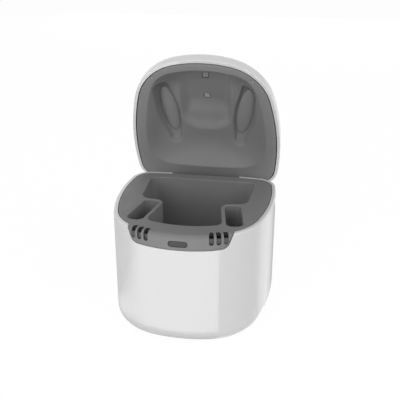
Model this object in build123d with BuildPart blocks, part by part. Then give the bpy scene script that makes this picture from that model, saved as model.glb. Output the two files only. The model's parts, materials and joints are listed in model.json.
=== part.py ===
"""Hearing aid dryer: a table-top case with a domed, hinged lid.

A grey tray drops into a white outer cup.  Its wide compartment and two toed-in slots hold the
hearing aids, and a fan and a heater under the compartment's floor grille dry them.  The lid
carries soft hold-down pads and two ultraviolet lamps.  Millimetres, +Z up, front towards -Y,
origin on the table under the middle of the case.
"""
from build123d import *
from math import asin, cos, degrees, radians, sin, tan
import os

os.makedirs("parts", exist_ok=True)

# ---------------------------------------------------------------- driving dimensions (mm)
# Plan of the case: four large arcs with rounded corners
WIDTH = 90.0
DEPTH = 89.0
WIDEST_Y = 15.0
FRONT_ARC = 75.0
SIDE_ARC = 132.0
REAR_ARC = 390.0
FRONT_CORNER = 32.0
REAR_CORNER = 12.5

# Outer cup
RIM_HEIGHT = 66.0
FOOT_LIFT = 0.8
WALL = 2.2
BOTTOM_EDGE = 8.8
RIM_EDGE = 0.8

# Finger notch in the cup's front rim, filled by the tray's fascia
NOTCH_TOP = 55.4
NOTCH_BOTTOM = 49.6
NOTCH_DROP = 7.8
NOTCH_BOW = 0.8
NOTCH_CORNER = 4.5

# Tray
TRAY_GAP = 0.35
TRAY_PLATE = 2.2
FASCIA_INSET = 0.3
FASCIA_WALL = 1.8
TUB_WALL = 1.6
RIB = 1.9
COMPARTMENT_DEPTH = 34.0
COMPARTMENT_FRONT_INSET = 12.5
COMPARTMENT_REAR_INSET = 10.0
COMPARTMENT_FRONT_ARC = 50.0
FRONT_BAY_LEAD = 7.49
REAR_BAY_INSET = 13.1
REAR_BAY_TAPER = 1.7
BAY_CORNER = 5.0
SHOULDER_CORNER = 6.0
FLOOR_EDGE = 2.0
MOUTH_EDGE = 0.4

# Hearing aid slots
SLOT_LENGTH = 27.4
SLOT_WIDTH = 9.1
SLOT_TOE = 10.0
SLOT_SIDE_INSET = 20.15
SLOT_FRONT_INSET = 29.3
SLOT_DEPTH = 16.0
SLOT_FRONT_CORNER = 3.8
SLOT_REAR_CORNER = 3.0
SEAT_PAD = 1.5
SEAT_GAP = 0.3

# Vents over the tray's front edge
VENT_COUNT = 3
VENT_WIDTH = 2.5
VENT_PITCH = 3.7
VENT_START = 17.1
VENT_INWARD = 3.4
VENT_DROP = 5.4
VENT_DEPTH = 1.2

# Front button and its switch
BUTTON_DROP = 5.1
BUTTON_LENGTH = 10.0
BUTTON_HEIGHT = 3.2
BUTTON_RECESS = 0.35
BUTTON_GAP = 0.15
BUTTON_TRAVEL = 0.6
BUTTON_FLANGE = 1.0
FLANGE_THICKNESS = 0.8
STEM_RADIUS = 1.2
STEM_LENGTH = 0.9
SWITCH_SIZE = 4.0
SWITCH_DEPTH = 2.2
SWITCH_BOARD = 1.0
SWITCH_BOARD_WIDTH = 14.0
SWITCH_BOARD_HEIGHT = 7.6

# Hinge
OPEN_ANGLE = 70.6
HINGE_DROP = 11.2
HINGE_INSET = 2.5
HINGE_SPAN = 42.0
HINGE_SIDE_GAP = 0.3
BARREL_RADIUS = 2.3
PIN_RADIUS = 1.0
PIN_RUNNING = 0.05
PIN_SEAT = 0.02
LUG_WIDTH = 5.6
LUG_RADIUS = 3.0
ARM_INSET = 0.15

# Lid shell
PARTING = 0.4
LID_WALL = 1.8
LID_HEIGHT = 20.6
LID_EDGE = 8.5
LID_RIM_EDGE = 0.5
DOME_Y = 4.5
CROWN_DROP = 20.0

# Lid liner
LINER_GAP = 0.3
LINER_WALL = 1.3
LINER_FLANGE = 2.0
BOWL_INSET = 8.6
BOWL_SHIFT = 1.7
BOWL_REAR_INSET = 13.6
BOWL_CORNER = 14.0
BOWL_DEPTH = 9.0
BOWL_EDGE = 8.5
RECESS_HALF = 15.2
RECESS_FRONT_INSET = 10.5
RECESS_RAMP = 25.0
RECESS_RUNOUT = 17.6
RECESS_FRONT_DEPTH = 9.9
RECESS_DEPTH = 13.4
RECESS_END = 10.8
RECESS_BEND = 30.0
RECESS_CORNER = 12.0
RECESS_EDGE = 2.5
RECESS_DRAFT = 35.0
RECESS_LEAD = 3.0
FLOOR_FACING = 0.9
POCKET_DEPTH = 11.5
POCKET_EDGE = 1.0
POCKET_DRAFT = 20.0
POCKET_LEAD = 5.0
POCKET_CIRCLES = (((1.45, -2.0), 6.0), ((-0.95, 10.7), 6.6), ((-4.35, 30.8), 3.9))

# Hold-down pads, lamps and lid trim
PAD_LENGTH = 31.4
PAD_WIDTH = 9.3
PAD_SHIFT = (-1.95, 11.5)
PAD_THICKNESS = 0.9
PAD_SEAT = 0.3
PAD_GAP = 0.4
PAD_EDGE = 0.4
LAMP_SIZE = 2.8
LAMP_WINDOW = 3.8
LAMP_WINDOW_CORNER = 0.5
LAMP_HEIGHT = 0.7
LAMP_DIE = 1.05
LAMP_DIE_PITCH = 1.35
LAMP_DIE_HEIGHT = 0.2
LAMP_FRONT_INSET = 15.9
LAMP_REAR_INSET = 31.1
LAMP_BOARD = 0.6
LAMP_BOARD_WIDTH = 7.0
LAMP_BOARD_END = 2.4
BUMPER_X = 28.8
BUMPER_FRONT_INSET = 12.5
BUMPER_RADIUS = 0.95
BUMPER_GAP = 0.05
BUMPER_PROUD = 0.25
BUMPER_SEAT = 1.0
MAGNET_RADIUS = 1.5
MAGNET_LENGTH = 2.0
MAGNET_X = 9.0
MAGNET_FRONT_INSET = 4.3

# Base pad and screws
BASE_INSET = 11.0
BASE_PAD = 1.6
BASE_GAP = 0.15
BASE_EDGE = 0.5
BOSS_RADIUS = 4.2
BOSS_HEIGHT = 3.4
REAR_SCREW_INSET = 17.0
FRONT_SCREW_INSET = 15.5
FRONT_SCREW_X = 15.0
COLUMN_GAP = 3.1
SCREW_RADIUS = 1.2
SCREW_HEAD_RADIUS = 2.2
SCREW_HEAD = 1.6
SCREW_LENGTH = 9.0
SCREW_GAP = 0.05
HEAD_GAP = 0.2

# Chassis, board and inlet
CHASSIS_INSET = 6.0
CHASSIS_PLATE = 2.0
COLUMN_RADIUS = 3.4
RAIL_HEIGHT = 1.0
RAIL_WIDTH = 3.0
BOARD_WIDTH = 24.0
BOARD_THICKNESS = 1.6
BOARD_LENGTH = 30.0
BOARD_REAR_INSET = 3.5
RAIL_LENGTH = 24.0
INTAKE_RADIUS = 12.0
INTAKE_Y = -10.0
CHIP_SIZE = 7.0
CHIP_HEIGHT = 1.0
CHIP_SPOT = (0, 8)
DRIVER_WIDTH = 4.0
DRIVER_LENGTH = 5.0
DRIVER_SPOTS = ((-7.5, 17), (7.5, 17))
CHOKE_RADIUS = 2.4
CHOKE_SPOT = (8, 5)
INLET_WIDTH = 8.94
INLET_HEIGHT = 3.2
INLET_LENGTH = 7.4
INLET_WALL = 0.35
INLET_GAP = 0.3
INLET_BACK = 1.5
TONGUE_WIDTH = 6.7
TONGUE_HEIGHT = 0.7
TONGUE_SETBACK = 1.2

# Air path
AIR_REAR_INSET = 22.5
GRILLE_RADIUS = 16.5
GRILLE_THICKNESS = 1.2
GRILLE_REBATE = 0.8
GRILLE_GAP = 0.15
GRILLE_OPENING = 14.5
GRILLE_SLOT = 1.6
GRILLE_PITCH = 3.2
HEATER_SIZE = 36.0
HEATER_HEIGHT = 4.0
HEATER_WALL = 1.6
FIN_COUNT = 9
FIN_THICKNESS = 0.6
FAN_SIZE = 40.0
FAN_HEIGHT = 10.0
FAN_CORNER = 3.0
FAN_BORE = 18.0
FAN_FLOOR = 1.2
FAN_HUB = 8.0
STRUT_WIDTH = 2.4
SHAFT_RADIUS = 1.0
SHAFT_RUNNING = 0.05
ROTOR_RADIUS = 17.3
ROTOR_HEIGHT = 7.4
ROTOR_LIFT = 0.4
BLADE_COUNT = 7
BLADE_THICKNESS = 0.9
BLADE_PITCH = 40.0
LEG_RADIUS = 2.5
LEG_INSET = 3.0

# ---------------------------------------------------------------- levels and places
tray_underside = RIM_HEIGHT - TRAY_PLATE
compartment_floor = RIM_HEIGHT - COMPARTMENT_DEPTH
tub_underside = compartment_floor - TUB_WALL
slot_floor = RIM_HEIGHT - SLOT_DEPTH
fascia_back = -DEPTH / 2 + FASCIA_INSET + FASCIA_WALL
notch_floor = RIM_HEIGHT - NOTCH_DROP
lid_plane = RIM_HEIGHT + PARTING
hinge_y = DEPTH / 2 - HINGE_INSET
hinge_z = RIM_HEIGHT - HINGE_DROP
arm_half = HINGE_SPAN / 2 - HINGE_SIDE_GAP
cup_floor = FOOT_LIFT + WALL
boss_top = cup_floor + BOSS_HEIGHT
chassis_top = boss_top + CHASSIS_PLATE
board_underside = chassis_top + RAIL_HEIGHT
board_top = board_underside + BOARD_THICKNESS
inlet_z = board_top + INLET_HEIGHT / 2
heater_underside = tub_underside - HEATER_HEIGHT
fan_underside = heater_underside - FAN_HEIGHT
button_z = RIM_HEIGHT - BUTTON_DROP
compartment_front = COMPARTMENT_FRONT_INSET - DEPTH / 2
compartment_rear = DEPTH / 2 - COMPARTMENT_REAR_INSET
rear_bay_half = WIDTH / 2 - REAR_BAY_INSET
slot_x = WIDTH / 2 - SLOT_SIDE_INSET
slot_y = SLOT_FRONT_INSET - DEPTH / 2
rib_reach = SLOT_LENGTH / 2 + RIB
rib_half = SLOT_WIDTH / 2 + RIB
rib_x = slot_x - rib_reach * sin(radians(SLOT_TOE))
rib_y = slot_y + rib_reach * cos(radians(SLOT_TOE))
bay_lead = FRONT_BAY_LEAD * sin(radians(SLOT_TOE))
front_bay_half = slot_x - rib_half * cos(radians(SLOT_TOE)) + bay_lead
air_y = compartment_rear - AIR_REAR_INSET
board_rear = DEPTH / 2 - BOARD_REAR_INSET
board_front = board_rear - BOARD_LENGTH
board_y = (board_front + board_rear) / 2
magnet_y = MAGNET_FRONT_INSET - DEPTH / 2
vent_reach = FRONT_ARC - FASCIA_INSET - VENT_DEPTH
crown_reach = (WIDTH**2 / 4 + (DEPTH / 2 + DOME_Y) ** 2) ** 0.5
dome_radius = (crown_reach**2 + CROWN_DROP**2) / (2 * CROWN_DROP)
recess_front = RECESS_FRONT_INSET - DEPTH / 2
recess_bend = recess_front + RECESS_RAMP
recess_rear = recess_bend + RECESS_RUNOUT
recess_slope = (RECESS_DEPTH - RECESS_FRONT_DEPTH) / RECESS_RAMP
recess_climb = (RECESS_DEPTH - RECESS_END) / RECESS_RUNOUT
rear_screw_x = FAN_SIZE / 2 + COLUMN_RADIUS + COLUMN_GAP
rear_screw_y = DEPTH / 2 - REAR_SCREW_INSET
front_screw_y = FRONT_SCREW_INSET - DEPTH / 2
screw_spots = [(side * rear_screw_x, rear_screw_y) for side in (-1, 1)]
screw_spots += [(side * FRONT_SCREW_X, front_screw_y) for side in (-1, 1)]
hinge_axis = Axis((0, hinge_y, hinge_z), (1, 0, 0))
corner_post = FAN_SIZE / 2 - LEG_INSET


# ---------------------------------------------------------------- shared outlines
def plan(inset: float, rear: float = DEPTH / 2, rear_corner: float = REAR_CORNER) -> Sketch:
    """The case seen from above, drawn in by inset all round; rear moves its rear side."""
    side_centre = SIDE_ARC - WIDTH / 2
    with BuildSketch() as outline:
        with Locations((0, FRONT_ARC - DEPTH / 2)):
            Circle(FRONT_ARC - inset)
        for side in (-1, 1):
            with Locations((side * side_centre, WIDEST_Y)):
                Circle(SIDE_ARC - inset, mode=Mode.INTERSECT)
        with Locations((0, rear - REAR_ARC)):
            Circle(REAR_ARC - inset, mode=Mode.INTERSECT)
        fillet(outline.vertices().group_by(Axis.Y)[0], FRONT_CORNER - inset)
        fillet(outline.vertices().group_by(Axis.Y)[-1], rear_corner - inset)
    return outline.sketch


def notch(clearance: float) -> Sketch:
    """The front notch seen from the front, drawn in by clearance; its top runs above the rim."""
    over = BOTTOM_EDGE
    widening = (NOTCH_TOP - NOTCH_BOTTOM) / 2 * over / NOTCH_DROP
    low, high = notch_floor, RIM_HEIGHT + over
    half_low, half_high = NOTCH_BOTTOM / 2, NOTCH_TOP / 2 + widening
    with BuildSketch() as opening:
        with BuildLine():
            ThreePointArc((-half_low, low), (0, low - NOTCH_BOW), (half_low, low))
            Polyline((half_low, low), (half_high, high), (-half_high, high), (-half_low, low))
        make_face()
        fillet(opening.vertices().group_by(Axis.Y)[0], NOTCH_CORNER)
        offset(amount=-clearance, kind=Kind.INTERSECTION)
    return opening.sketch


def slot(grow: float) -> Sketch:
    """The right-hand slot seen from above, grown by grow: square rear end, rounded front end."""
    with BuildSketch() as outline:
        Rectangle(SLOT_WIDTH + 2 * grow, SLOT_LENGTH + 2 * grow)
        fillet(outline.vertices().group_by(Axis.Y)[0], SLOT_FRONT_CORNER + grow)
        fillet(outline.vertices().group_by(Axis.Y)[-1], SLOT_REAR_CORNER + grow)
    return outline.sketch.moved(Location((slot_x, slot_y), SLOT_TOE))


def slots(grow: float) -> Sketch:
    """Both slots seen from above, grown by grow."""
    with BuildSketch() as pair:
        add(slot(grow))
        mirror(about=Plane.YZ)
    return pair.sketch


def front_bay() -> Sketch:
    """The compartment's front bay seen from above: straight sides and a bowed front edge."""
    with BuildSketch() as bay:
        with Locations((0, COMPARTMENT_FRONT_ARC + compartment_front)):
            Circle(COMPARTMENT_FRONT_ARC)
        with Locations((0, rib_y + SHOULDER_CORNER)):
            Rectangle(
                2 * front_bay_half, DEPTH, align=(Align.CENTER, Align.MAX), mode=Mode.INTERSECT
            )
    return bay.sketch


def compartment(grow: float) -> Sketch:
    """The compartment seen from above, grown by grow: a wide rear bay and the front bay.

    The rear bay's shoulders run in line with the rear ends of the ribs around the slots.
    """
    front_half = rear_bay_half - REAR_BAY_TAPER
    shoulder_rise = tan(radians(SLOT_TOE))
    shoulder_outer = rib_y + (front_half - rib_x) * shoulder_rise
    shoulder_inner = rib_y - rib_x * shoulder_rise
    with BuildSketch() as outline:
        with BuildLine():
            Polyline(
                (-front_half, shoulder_outer),
                (0, shoulder_inner),
                (front_half, shoulder_outer),
                (rear_bay_half, compartment_rear),
                (-rear_bay_half, compartment_rear),
                close=True,
            )
        make_face()
        fillet(outline.vertices().group_by(Axis.Y)[-1], BAY_CORNER)
        fillet(outline.vertices().group_by(Axis.Y)[1], SHOULDER_CORNER)
        add(front_bay())
        add(slots(RIB), mode=Mode.SUBTRACT)
        fillet(outline.vertices().group_by(Axis.Y)[0], BAY_CORNER)
        if grow:
            offset(amount=grow)
    return outline.sketch


# ---------------------------------------------------------------- outer cup
with BuildPart() as body_shell:
    with BuildSketch(Plane.XY.offset(FOOT_LIFT)):
        add(plan(0))
    extrude(amount=RIM_HEIGHT - FOOT_LIFT)
    fillet(body_shell.edges().group_by(Axis.Z)[0], BOTTOM_EDGE)
    offset(amount=-WALL, openings=body_shell.faces().sort_by(Axis.Z)[-1])
    fillet(body_shell.faces().sort_by(Axis.Z)[-1].outer_wire().edges(), RIM_EDGE)
    # finger notch
    with BuildSketch(Plane.XZ):
        add(notch(0))
    extrude(amount=DEPTH, mode=Mode.SUBTRACT)
    # screw bosses on the floor
    with BuildSketch(Plane.XY.offset(cup_floor)):
        with Locations(*screw_spots):
            Circle(BOSS_RADIUS)
    extrude(amount=BOSS_HEIGHT)
    # recess for the base pad, then the screw holes it covers
    with BuildSketch(Plane.XY.offset(FOOT_LIFT)):
        add(plan(BASE_INSET))
    extrude(amount=BASE_PAD - FOOT_LIFT, mode=Mode.SUBTRACT)
    with Locations(*[Location((x, y, BASE_PAD), (180, 0, 0)) for x, y in screw_spots]):
        CounterBoreHole(
            SCREW_RADIUS + HEAD_GAP,
            SCREW_HEAD_RADIUS + HEAD_GAP,
            SCREW_HEAD + HEAD_GAP,
            boss_top - BASE_PAD,
        )
    # hinge lugs inside the rear wall
    with BuildSketch(Plane.YZ.offset(-HINGE_SPAN / 2 - LUG_WIDTH)):
        with Locations((hinge_y, hinge_z)):
            Circle(LUG_RADIUS)
        with Locations((DEPTH / 2 - WALL / 2, hinge_z)):
            Rectangle(
                LUG_RADIUS + HINGE_INSET,
                2 * LUG_RADIUS,
                align=(Align.MAX, Align.CENTER),
                mode=Mode.INTERSECT,
            )
    extrude(amount=HINGE_SPAN + 2 * LUG_WIDTH)
    # opening for the lid's hinge arm
    with BuildSketch(Plane.XY.offset(hinge_z - BARREL_RADIUS - HINGE_SIDE_GAP)):
        with Locations((0, hinge_y - LUG_RADIUS)):
            Rectangle(HINGE_SPAN, DEPTH, align=(Align.CENTER, Align.MIN))
    extrude(amount=RIM_HEIGHT, mode=Mode.SUBTRACT)
    # bore for the hinge pin
    with BuildSketch(Plane.YZ.offset(-HINGE_SPAN / 2 - LUG_WIDTH)):
        with Locations((hinge_y, hinge_z)):
            Circle(PIN_RADIUS + PIN_SEAT)
    extrude(amount=HINGE_SPAN + 2 * LUG_WIDTH, mode=Mode.SUBTRACT)
    # opening for the power inlet
    with BuildSketch(Plane.XZ.offset(-DEPTH / 2 + 2 * WALL)):
        with Locations((0, inlet_z)):
            SlotOverall(INLET_WIDTH + 2 * INLET_GAP, INLET_HEIGHT + 2 * INLET_GAP)
    extrude(amount=-3 * WALL, mode=Mode.SUBTRACT)
body_shell.part.label = "body_shell"
export_step(body_shell.part, "parts/body_shell.step")

# ---------------------------------------------------------------- base pad and case screws
with BuildPart() as base_pad:
    with BuildSketch():
        add(plan(BASE_INSET + BASE_GAP))
    extrude(amount=BASE_PAD)
    fillet(base_pad.edges().group_by(Axis.Z)[0], BASE_EDGE)
base_pad.part.label = "base_pad"
export_step(base_pad.part, "parts/base_pad.step")

with BuildPart() as case_screws:
    head_underside = BASE_PAD + HEAD_GAP
    with BuildSketch(Plane.XY.offset(head_underside)):
        with Locations(*screw_spots):
            Circle(SCREW_HEAD_RADIUS)
    extrude(amount=SCREW_HEAD)
    with BuildSketch(Plane.XY.offset(head_underside + SCREW_HEAD)):
        with Locations(*screw_spots):
            Circle(SCREW_RADIUS)
    extrude(amount=SCREW_LENGTH)
case_screws.part.label = "case_screws"
export_step(case_screws.part, "parts/case_screws.step")

# ---------------------------------------------------------------- inner tray
with BuildPart() as compartment_form:
    with BuildSketch(Plane.XY.offset(compartment_floor)):
        add(compartment(0))
    extrude(amount=COMPARTMENT_DEPTH)
    fillet(compartment_form.faces().sort_by(Axis.Z)[0].edges(), FLOOR_EDGE)
hollow = compartment_form.part

with BuildPart() as inner_tray:
    # fascia that fills the notch, with a rounded top edge
    with BuildSketch(Plane.XY.offset(notch_floor - NOTCH_BOW)):
        add(plan(FASCIA_INSET))
    extrude(amount=RIM_HEIGHT - notch_floor + NOTCH_BOW)
    fillet(inner_tray.edges().group_by(Axis.Z)[-1], WALL + TRAY_GAP - FASCIA_INSET)
    with BuildSketch(Plane.XZ.offset(-compartment_front)):
        add(notch(TRAY_GAP))
    extrude(amount=DEPTH, mode=Mode.INTERSECT)
    with BuildSketch():
        add(plan(FASCIA_INSET + FASCIA_WALL))
    extrude(amount=tray_underside, mode=Mode.SUBTRACT)
    # top plate
    with BuildSketch(Plane.XY.offset(tray_underside)):
        add(plan(WALL + TRAY_GAP))
    extrude(amount=TRAY_PLATE)
    # walls and floors of the compartment and the slots
    with BuildSketch(Plane.XY.offset(tub_underside)):
        add(compartment(TUB_WALL))
    extrude(amount=tray_underside - tub_underside)
    with BuildSketch(Plane.XY.offset(slot_floor - TUB_WALL)):
        add(slots(TUB_WALL))
    extrude(amount=tray_underside - slot_floor + TUB_WALL)
    add(hollow, mode=Mode.SUBTRACT)
    with BuildSketch(Plane.XY.offset(slot_floor)):
        add(slots(0))
    extrude(amount=SLOT_DEPTH, mode=Mode.SUBTRACT)
    fillet(inner_tray.faces().sort_by(Axis.Z)[-1].inner_wires().edges(), MOUTH_EDGE)
    # air opening in the compartment's floor, with a rebate for the grille
    with Locations((0, air_y, compartment_floor)):
        CounterBoreHole(
            GRILLE_OPENING, GRILLE_RADIUS + GRILLE_GAP, GRILLE_REBATE, TUB_WALL
        )
    # vents over the front edge, square to the front arc: open through the top plate,
    # and carried down the fascia as blind grooves with round ends
    for side in (-1, 1):
        for index in range(VENT_COUNT):
            turn = side * asin((VENT_START + index * VENT_PITCH) / FRONT_ARC)
            outward = (sin(turn), -cos(turn))
            groove_x = vent_reach * outward[0]
            groove_y = FRONT_ARC - DEPTH / 2 + vent_reach * outward[1]
            face = Plane(
                (groove_x, groove_y, RIM_HEIGHT), x_dir=(cos(turn), sin(turn), 0), z_dir=(*outward, 0)
            )
            with BuildSketch(face):
                SlotOverall(2 * VENT_DROP, VENT_WIDTH, rotation=90)
            extrude(amount=2 * VENT_DEPTH, mode=Mode.SUBTRACT)
            with BuildSketch(Plane.XY.offset(tray_underside)):
                with Locations(Location((groove_x, groove_y), degrees(turn) + 90)):
                    SlotOverall(2 * VENT_INWARD, VENT_WIDTH)
            extrude(amount=TRAY_PLATE, mode=Mode.SUBTRACT)
    # opening for the button
    with BuildSketch(Plane.XZ.offset(-fascia_back - FASCIA_WALL)):
        with Locations((0, button_z)):
            SlotOverall(BUTTON_LENGTH + 2 * BUTTON_GAP, BUTTON_HEIGHT + 2 * BUTTON_GAP)
    extrude(amount=3 * FASCIA_WALL, mode=Mode.SUBTRACT)
inner_tray.part.label = "inner_tray"
export_step(inner_tray.part, "parts/inner_tray.step")

# ---------------------------------------------------------------- grille and slot pads
with BuildPart() as air_grille:
    with BuildSketch(Plane.XY.offset(compartment_floor - GRILLE_REBATE)):
        with Locations((0, air_y)):
            Circle(GRILLE_RADIUS)
    extrude(amount=GRILLE_THICKNESS)
    slot_reach = GRILLE_OPENING - GRILLE_SLOT / 2
    slot_rows = int(slot_reach / GRILLE_PITCH)
    with BuildSketch(Plane.XY.offset(compartment_floor - GRILLE_REBATE)):
        for row in range(-slot_rows, slot_rows + 1):
            half_chord = (slot_reach**2 - (row * GRILLE_PITCH) ** 2) ** 0.5
            with Locations((0, air_y + row * GRILLE_PITCH)):
                SlotOverall(2 * half_chord, GRILLE_SLOT)
    extrude(amount=GRILLE_THICKNESS, mode=Mode.SUBTRACT)
air_grille.part.label = "air_grille"
export_step(air_grille.part, "parts/air_grille.step")

with BuildPart() as slot_pad_right:
    with BuildSketch(Plane.XY.offset(slot_floor)):
        add(slot(-SEAT_GAP))
    extrude(amount=SEAT_PAD)
    fillet(slot_pad_right.edges().group_by(Axis.Z)[-1], SEAT_GAP)
slot_pad_right.part.label = "slot_pad_right"
export_step(slot_pad_right.part, "parts/slot_pad_right.step")

with BuildPart() as slot_pad_left:
    add(slot_pad_right.part.mirror(Plane.YZ))
slot_pad_left.part.label = "slot_pad_left"
export_step(slot_pad_left.part, "parts/slot_pad_left.step")

# ---------------------------------------------------------------- chassis
with BuildPart() as chassis:
    with BuildSketch(Plane.XY.offset(boss_top)):
        add(plan(CHASSIS_INSET))
    extrude(amount=CHASSIS_PLATE)
    # columns under the tray, legs under the fan and rails under the board
    with BuildSketch(Plane.XY.offset(boss_top)):
        with Locations(*screw_spots):
            Circle(COLUMN_RADIUS)
    extrude(amount=tub_underside - boss_top)
    with BuildSketch(Plane.XY.offset(boss_top)):
        with Locations((0, air_y)):
            with GridLocations(2 * corner_post, 2 * corner_post, 2, 2):
                Circle(LEG_RADIUS)
    extrude(amount=fan_underside - boss_top)
    with BuildSketch(Plane.XY.offset(boss_top)):
        with Locations((0, board_y)):
            with GridLocations(BOARD_WIDTH - RAIL_WIDTH, 0, 2, 1):
                Rectangle(RAIL_WIDTH, RAIL_LENGTH)
    extrude(amount=board_underside - boss_top)
    # air opening in the plate and holes for the screws
    with BuildSketch(Plane.XY.offset(boss_top)):
        with Locations((0, INTAKE_Y)):
            Circle(INTAKE_RADIUS)
    extrude(amount=CHASSIS_PLATE, mode=Mode.SUBTRACT)
    with BuildSketch(Plane.XY.offset(boss_top)):
        with Locations(*screw_spots):
            Circle(SCREW_RADIUS + SCREW_GAP)
    extrude(amount=SCREW_LENGTH, mode=Mode.SUBTRACT)
chassis.part.label = "chassis"
export_step(chassis.part, "parts/chassis.step")

# ---------------------------------------------------------------- main board and inlet
with BuildPart() as main_board:
    with BuildSketch(Plane.XY.offset(board_underside)):
        with Locations((0, board_y)):
            Rectangle(BOARD_WIDTH, BOARD_LENGTH)
    extrude(amount=BOARD_THICKNESS)
    fillet(main_board.edges().filter_by(Axis.Z), RAIL_HEIGHT)
    # control chip, driver chips and a choke
    with BuildSketch(Plane.XY.offset(board_top)):
        with Locations((0, board_front)):
            with Locations(CHIP_SPOT):
                Rectangle(CHIP_SIZE, CHIP_SIZE)
            with Locations(*DRIVER_SPOTS):
                Rectangle(DRIVER_WIDTH, DRIVER_LENGTH)
    extrude(amount=CHIP_HEIGHT)
    with BuildSketch(Plane.XY.offset(board_top)):
        with Locations((0, board_front)):
            with Locations(CHOKE_SPOT):
                Circle(CHOKE_RADIUS)
    extrude(amount=CHOKE_RADIUS)
main_board.part.label = "main_board"
export_step(main_board.part, "parts/main_board.step")

with BuildPart() as usb_socket:
    inlet_mouth = DEPTH / 2 - INLET_GAP
    with BuildSketch(Plane.XZ.offset(-inlet_mouth)):
        with Locations((0, inlet_z)):
            SlotOverall(INLET_WIDTH, INLET_HEIGHT)
    extrude(amount=INLET_LENGTH)
    with BuildSketch(Plane.XZ.offset(-inlet_mouth)):
        with Locations((0, inlet_z)):
            SlotOverall(INLET_WIDTH - 2 * INLET_WALL, INLET_HEIGHT - 2 * INLET_WALL)
    extrude(amount=INLET_LENGTH - INLET_BACK, mode=Mode.SUBTRACT)
    with BuildSketch(Plane.XZ.offset(TONGUE_SETBACK - inlet_mouth)):
        with Locations((0, inlet_z)):
            Rectangle(TONGUE_WIDTH, TONGUE_HEIGHT)
    extrude(amount=INLET_LENGTH - TONGUE_SETBACK - INLET_BACK / 2)
usb_socket.part.label = "usb_socket"
export_step(usb_socket.part, "parts/usb_socket.step")

# ---------------------------------------------------------------- heater and fan
with BuildPart() as heater:
    with BuildSketch(Plane.XY.offset(heater_underside)):
        with Locations((0, air_y)):
            RectangleRounded(HEATER_SIZE, HEATER_SIZE, FAN_CORNER)
            Rectangle(
                HEATER_SIZE - 2 * HEATER_WALL, HEATER_SIZE - 2 * HEATER_WALL, mode=Mode.SUBTRACT
            )
            with GridLocations(HEATER_SIZE / (FIN_COUNT + 1), 0, FIN_COUNT, 1):
                Rectangle(FIN_THICKNESS, HEATER_SIZE - HEATER_WALL)
            Rectangle(HEATER_SIZE - HEATER_WALL, HEATER_WALL)
    extrude(amount=HEATER_HEIGHT)
heater.part.label = "heater"
export_step(heater.part, "parts/heater.step")

with BuildPart() as fan_frame:
    with BuildSketch(Plane.XY.offset(fan_underside)):
        with Locations((0, air_y)):
            RectangleRounded(FAN_SIZE, FAN_SIZE, FAN_CORNER)
            Circle(FAN_BORE, mode=Mode.SUBTRACT)
    extrude(amount=FAN_HEIGHT)
    # spider that carries the shaft
    with BuildSketch(Plane.XY.offset(fan_underside)):
        with Locations((0, air_y)):
            Circle(FAN_HUB)
            with PolarLocations(FAN_BORE / 2, 3, start_angle=90):
                Rectangle(FAN_BORE + STRUT_WIDTH, STRUT_WIDTH)
    extrude(amount=FAN_FLOOR)
    with BuildSketch(Plane.XY.offset(fan_underside)):
        with Locations((0, air_y)):
            Circle(SHAFT_RADIUS)
    extrude(amount=FAN_FLOOR + ROTOR_LIFT + ROTOR_HEIGHT)
fan_frame.part.label = "fan_frame"
export_step(fan_frame.part, "parts/fan_frame.step")

with BuildPart() as fan_rotor:
    rotor_underside = fan_underside + FAN_FLOOR + ROTOR_LIFT
    with BuildSketch(Plane.XY.offset(rotor_underside)):
        Circle(ROTOR_RADIUS)
    extrude(amount=ROTOR_HEIGHT)
    # pitched blades, cut from the swept disc
    with BuildSketch(Plane.YZ):
        with Locations(Location((0, rotor_underside + ROTOR_HEIGHT / 2), BLADE_PITCH)):
            Rectangle(BLADE_THICKNESS, 2 * ROTOR_HEIGHT)
    extrude(amount=ROTOR_RADIUS, mode=Mode.INTERSECT)
    blade = fan_rotor.part
    for index in range(1, BLADE_COUNT):
        add(blade.rotate(Axis.Z, index * 360 / BLADE_COUNT))
    with BuildSketch(Plane.XY.offset(rotor_underside)):
        Circle(FAN_HUB)
    extrude(amount=ROTOR_HEIGHT)
    with BuildSketch(Plane.XY.offset(rotor_underside)):
        Circle(SHAFT_RADIUS + SHAFT_RUNNING)
    extrude(amount=ROTOR_HEIGHT, mode=Mode.SUBTRACT)
fan_rotor.part = fan_rotor.part.moved(Location((0, air_y, 0)))
fan_rotor.part.label = "fan_rotor"
export_step(fan_rotor.part, "parts/fan_rotor.step")

# ---------------------------------------------------------------- front button
button_face = -DEPTH / 2 + FASCIA_INSET + BUTTON_RECESS
fascia_back_arc = FRONT_ARC - FASCIA_INSET - FASCIA_WALL
flange_bow = fascia_back_arc - (fascia_back_arc**2 - (BUTTON_LENGTH / 2 + BUTTON_FLANGE) ** 2) ** 0.5
flange_front = fascia_back + flange_bow + BUTTON_GAP
stem_tip = flange_front + FLANGE_THICKNESS + STEM_LENGTH
with BuildPart() as button:
    with BuildSketch(Plane.XZ.offset(-button_face)):
        with Locations((0, button_z)):
            SlotOverall(BUTTON_LENGTH, BUTTON_HEIGHT)
    extrude(amount=button_face - flange_front)
    fillet(button.faces().sort_by(Axis.Y)[0].edges(), BUTTON_RECESS)
    with BuildSketch(Plane.XZ.offset(-flange_front)):
        with Locations((0, button_z)):
            SlotOverall(BUTTON_LENGTH + 2 * BUTTON_FLANGE, BUTTON_HEIGHT + 2 * BUTTON_FLANGE)
    extrude(amount=-FLANGE_THICKNESS)
    with BuildSketch(Plane.XZ.offset(-flange_front - FLANGE_THICKNESS)):
        with Locations((0, button_z)):
            Circle(STEM_RADIUS)
    extrude(amount=-STEM_LENGTH)
button.part.label = "button"
export_step(button.part, "parts/button.step")

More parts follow.
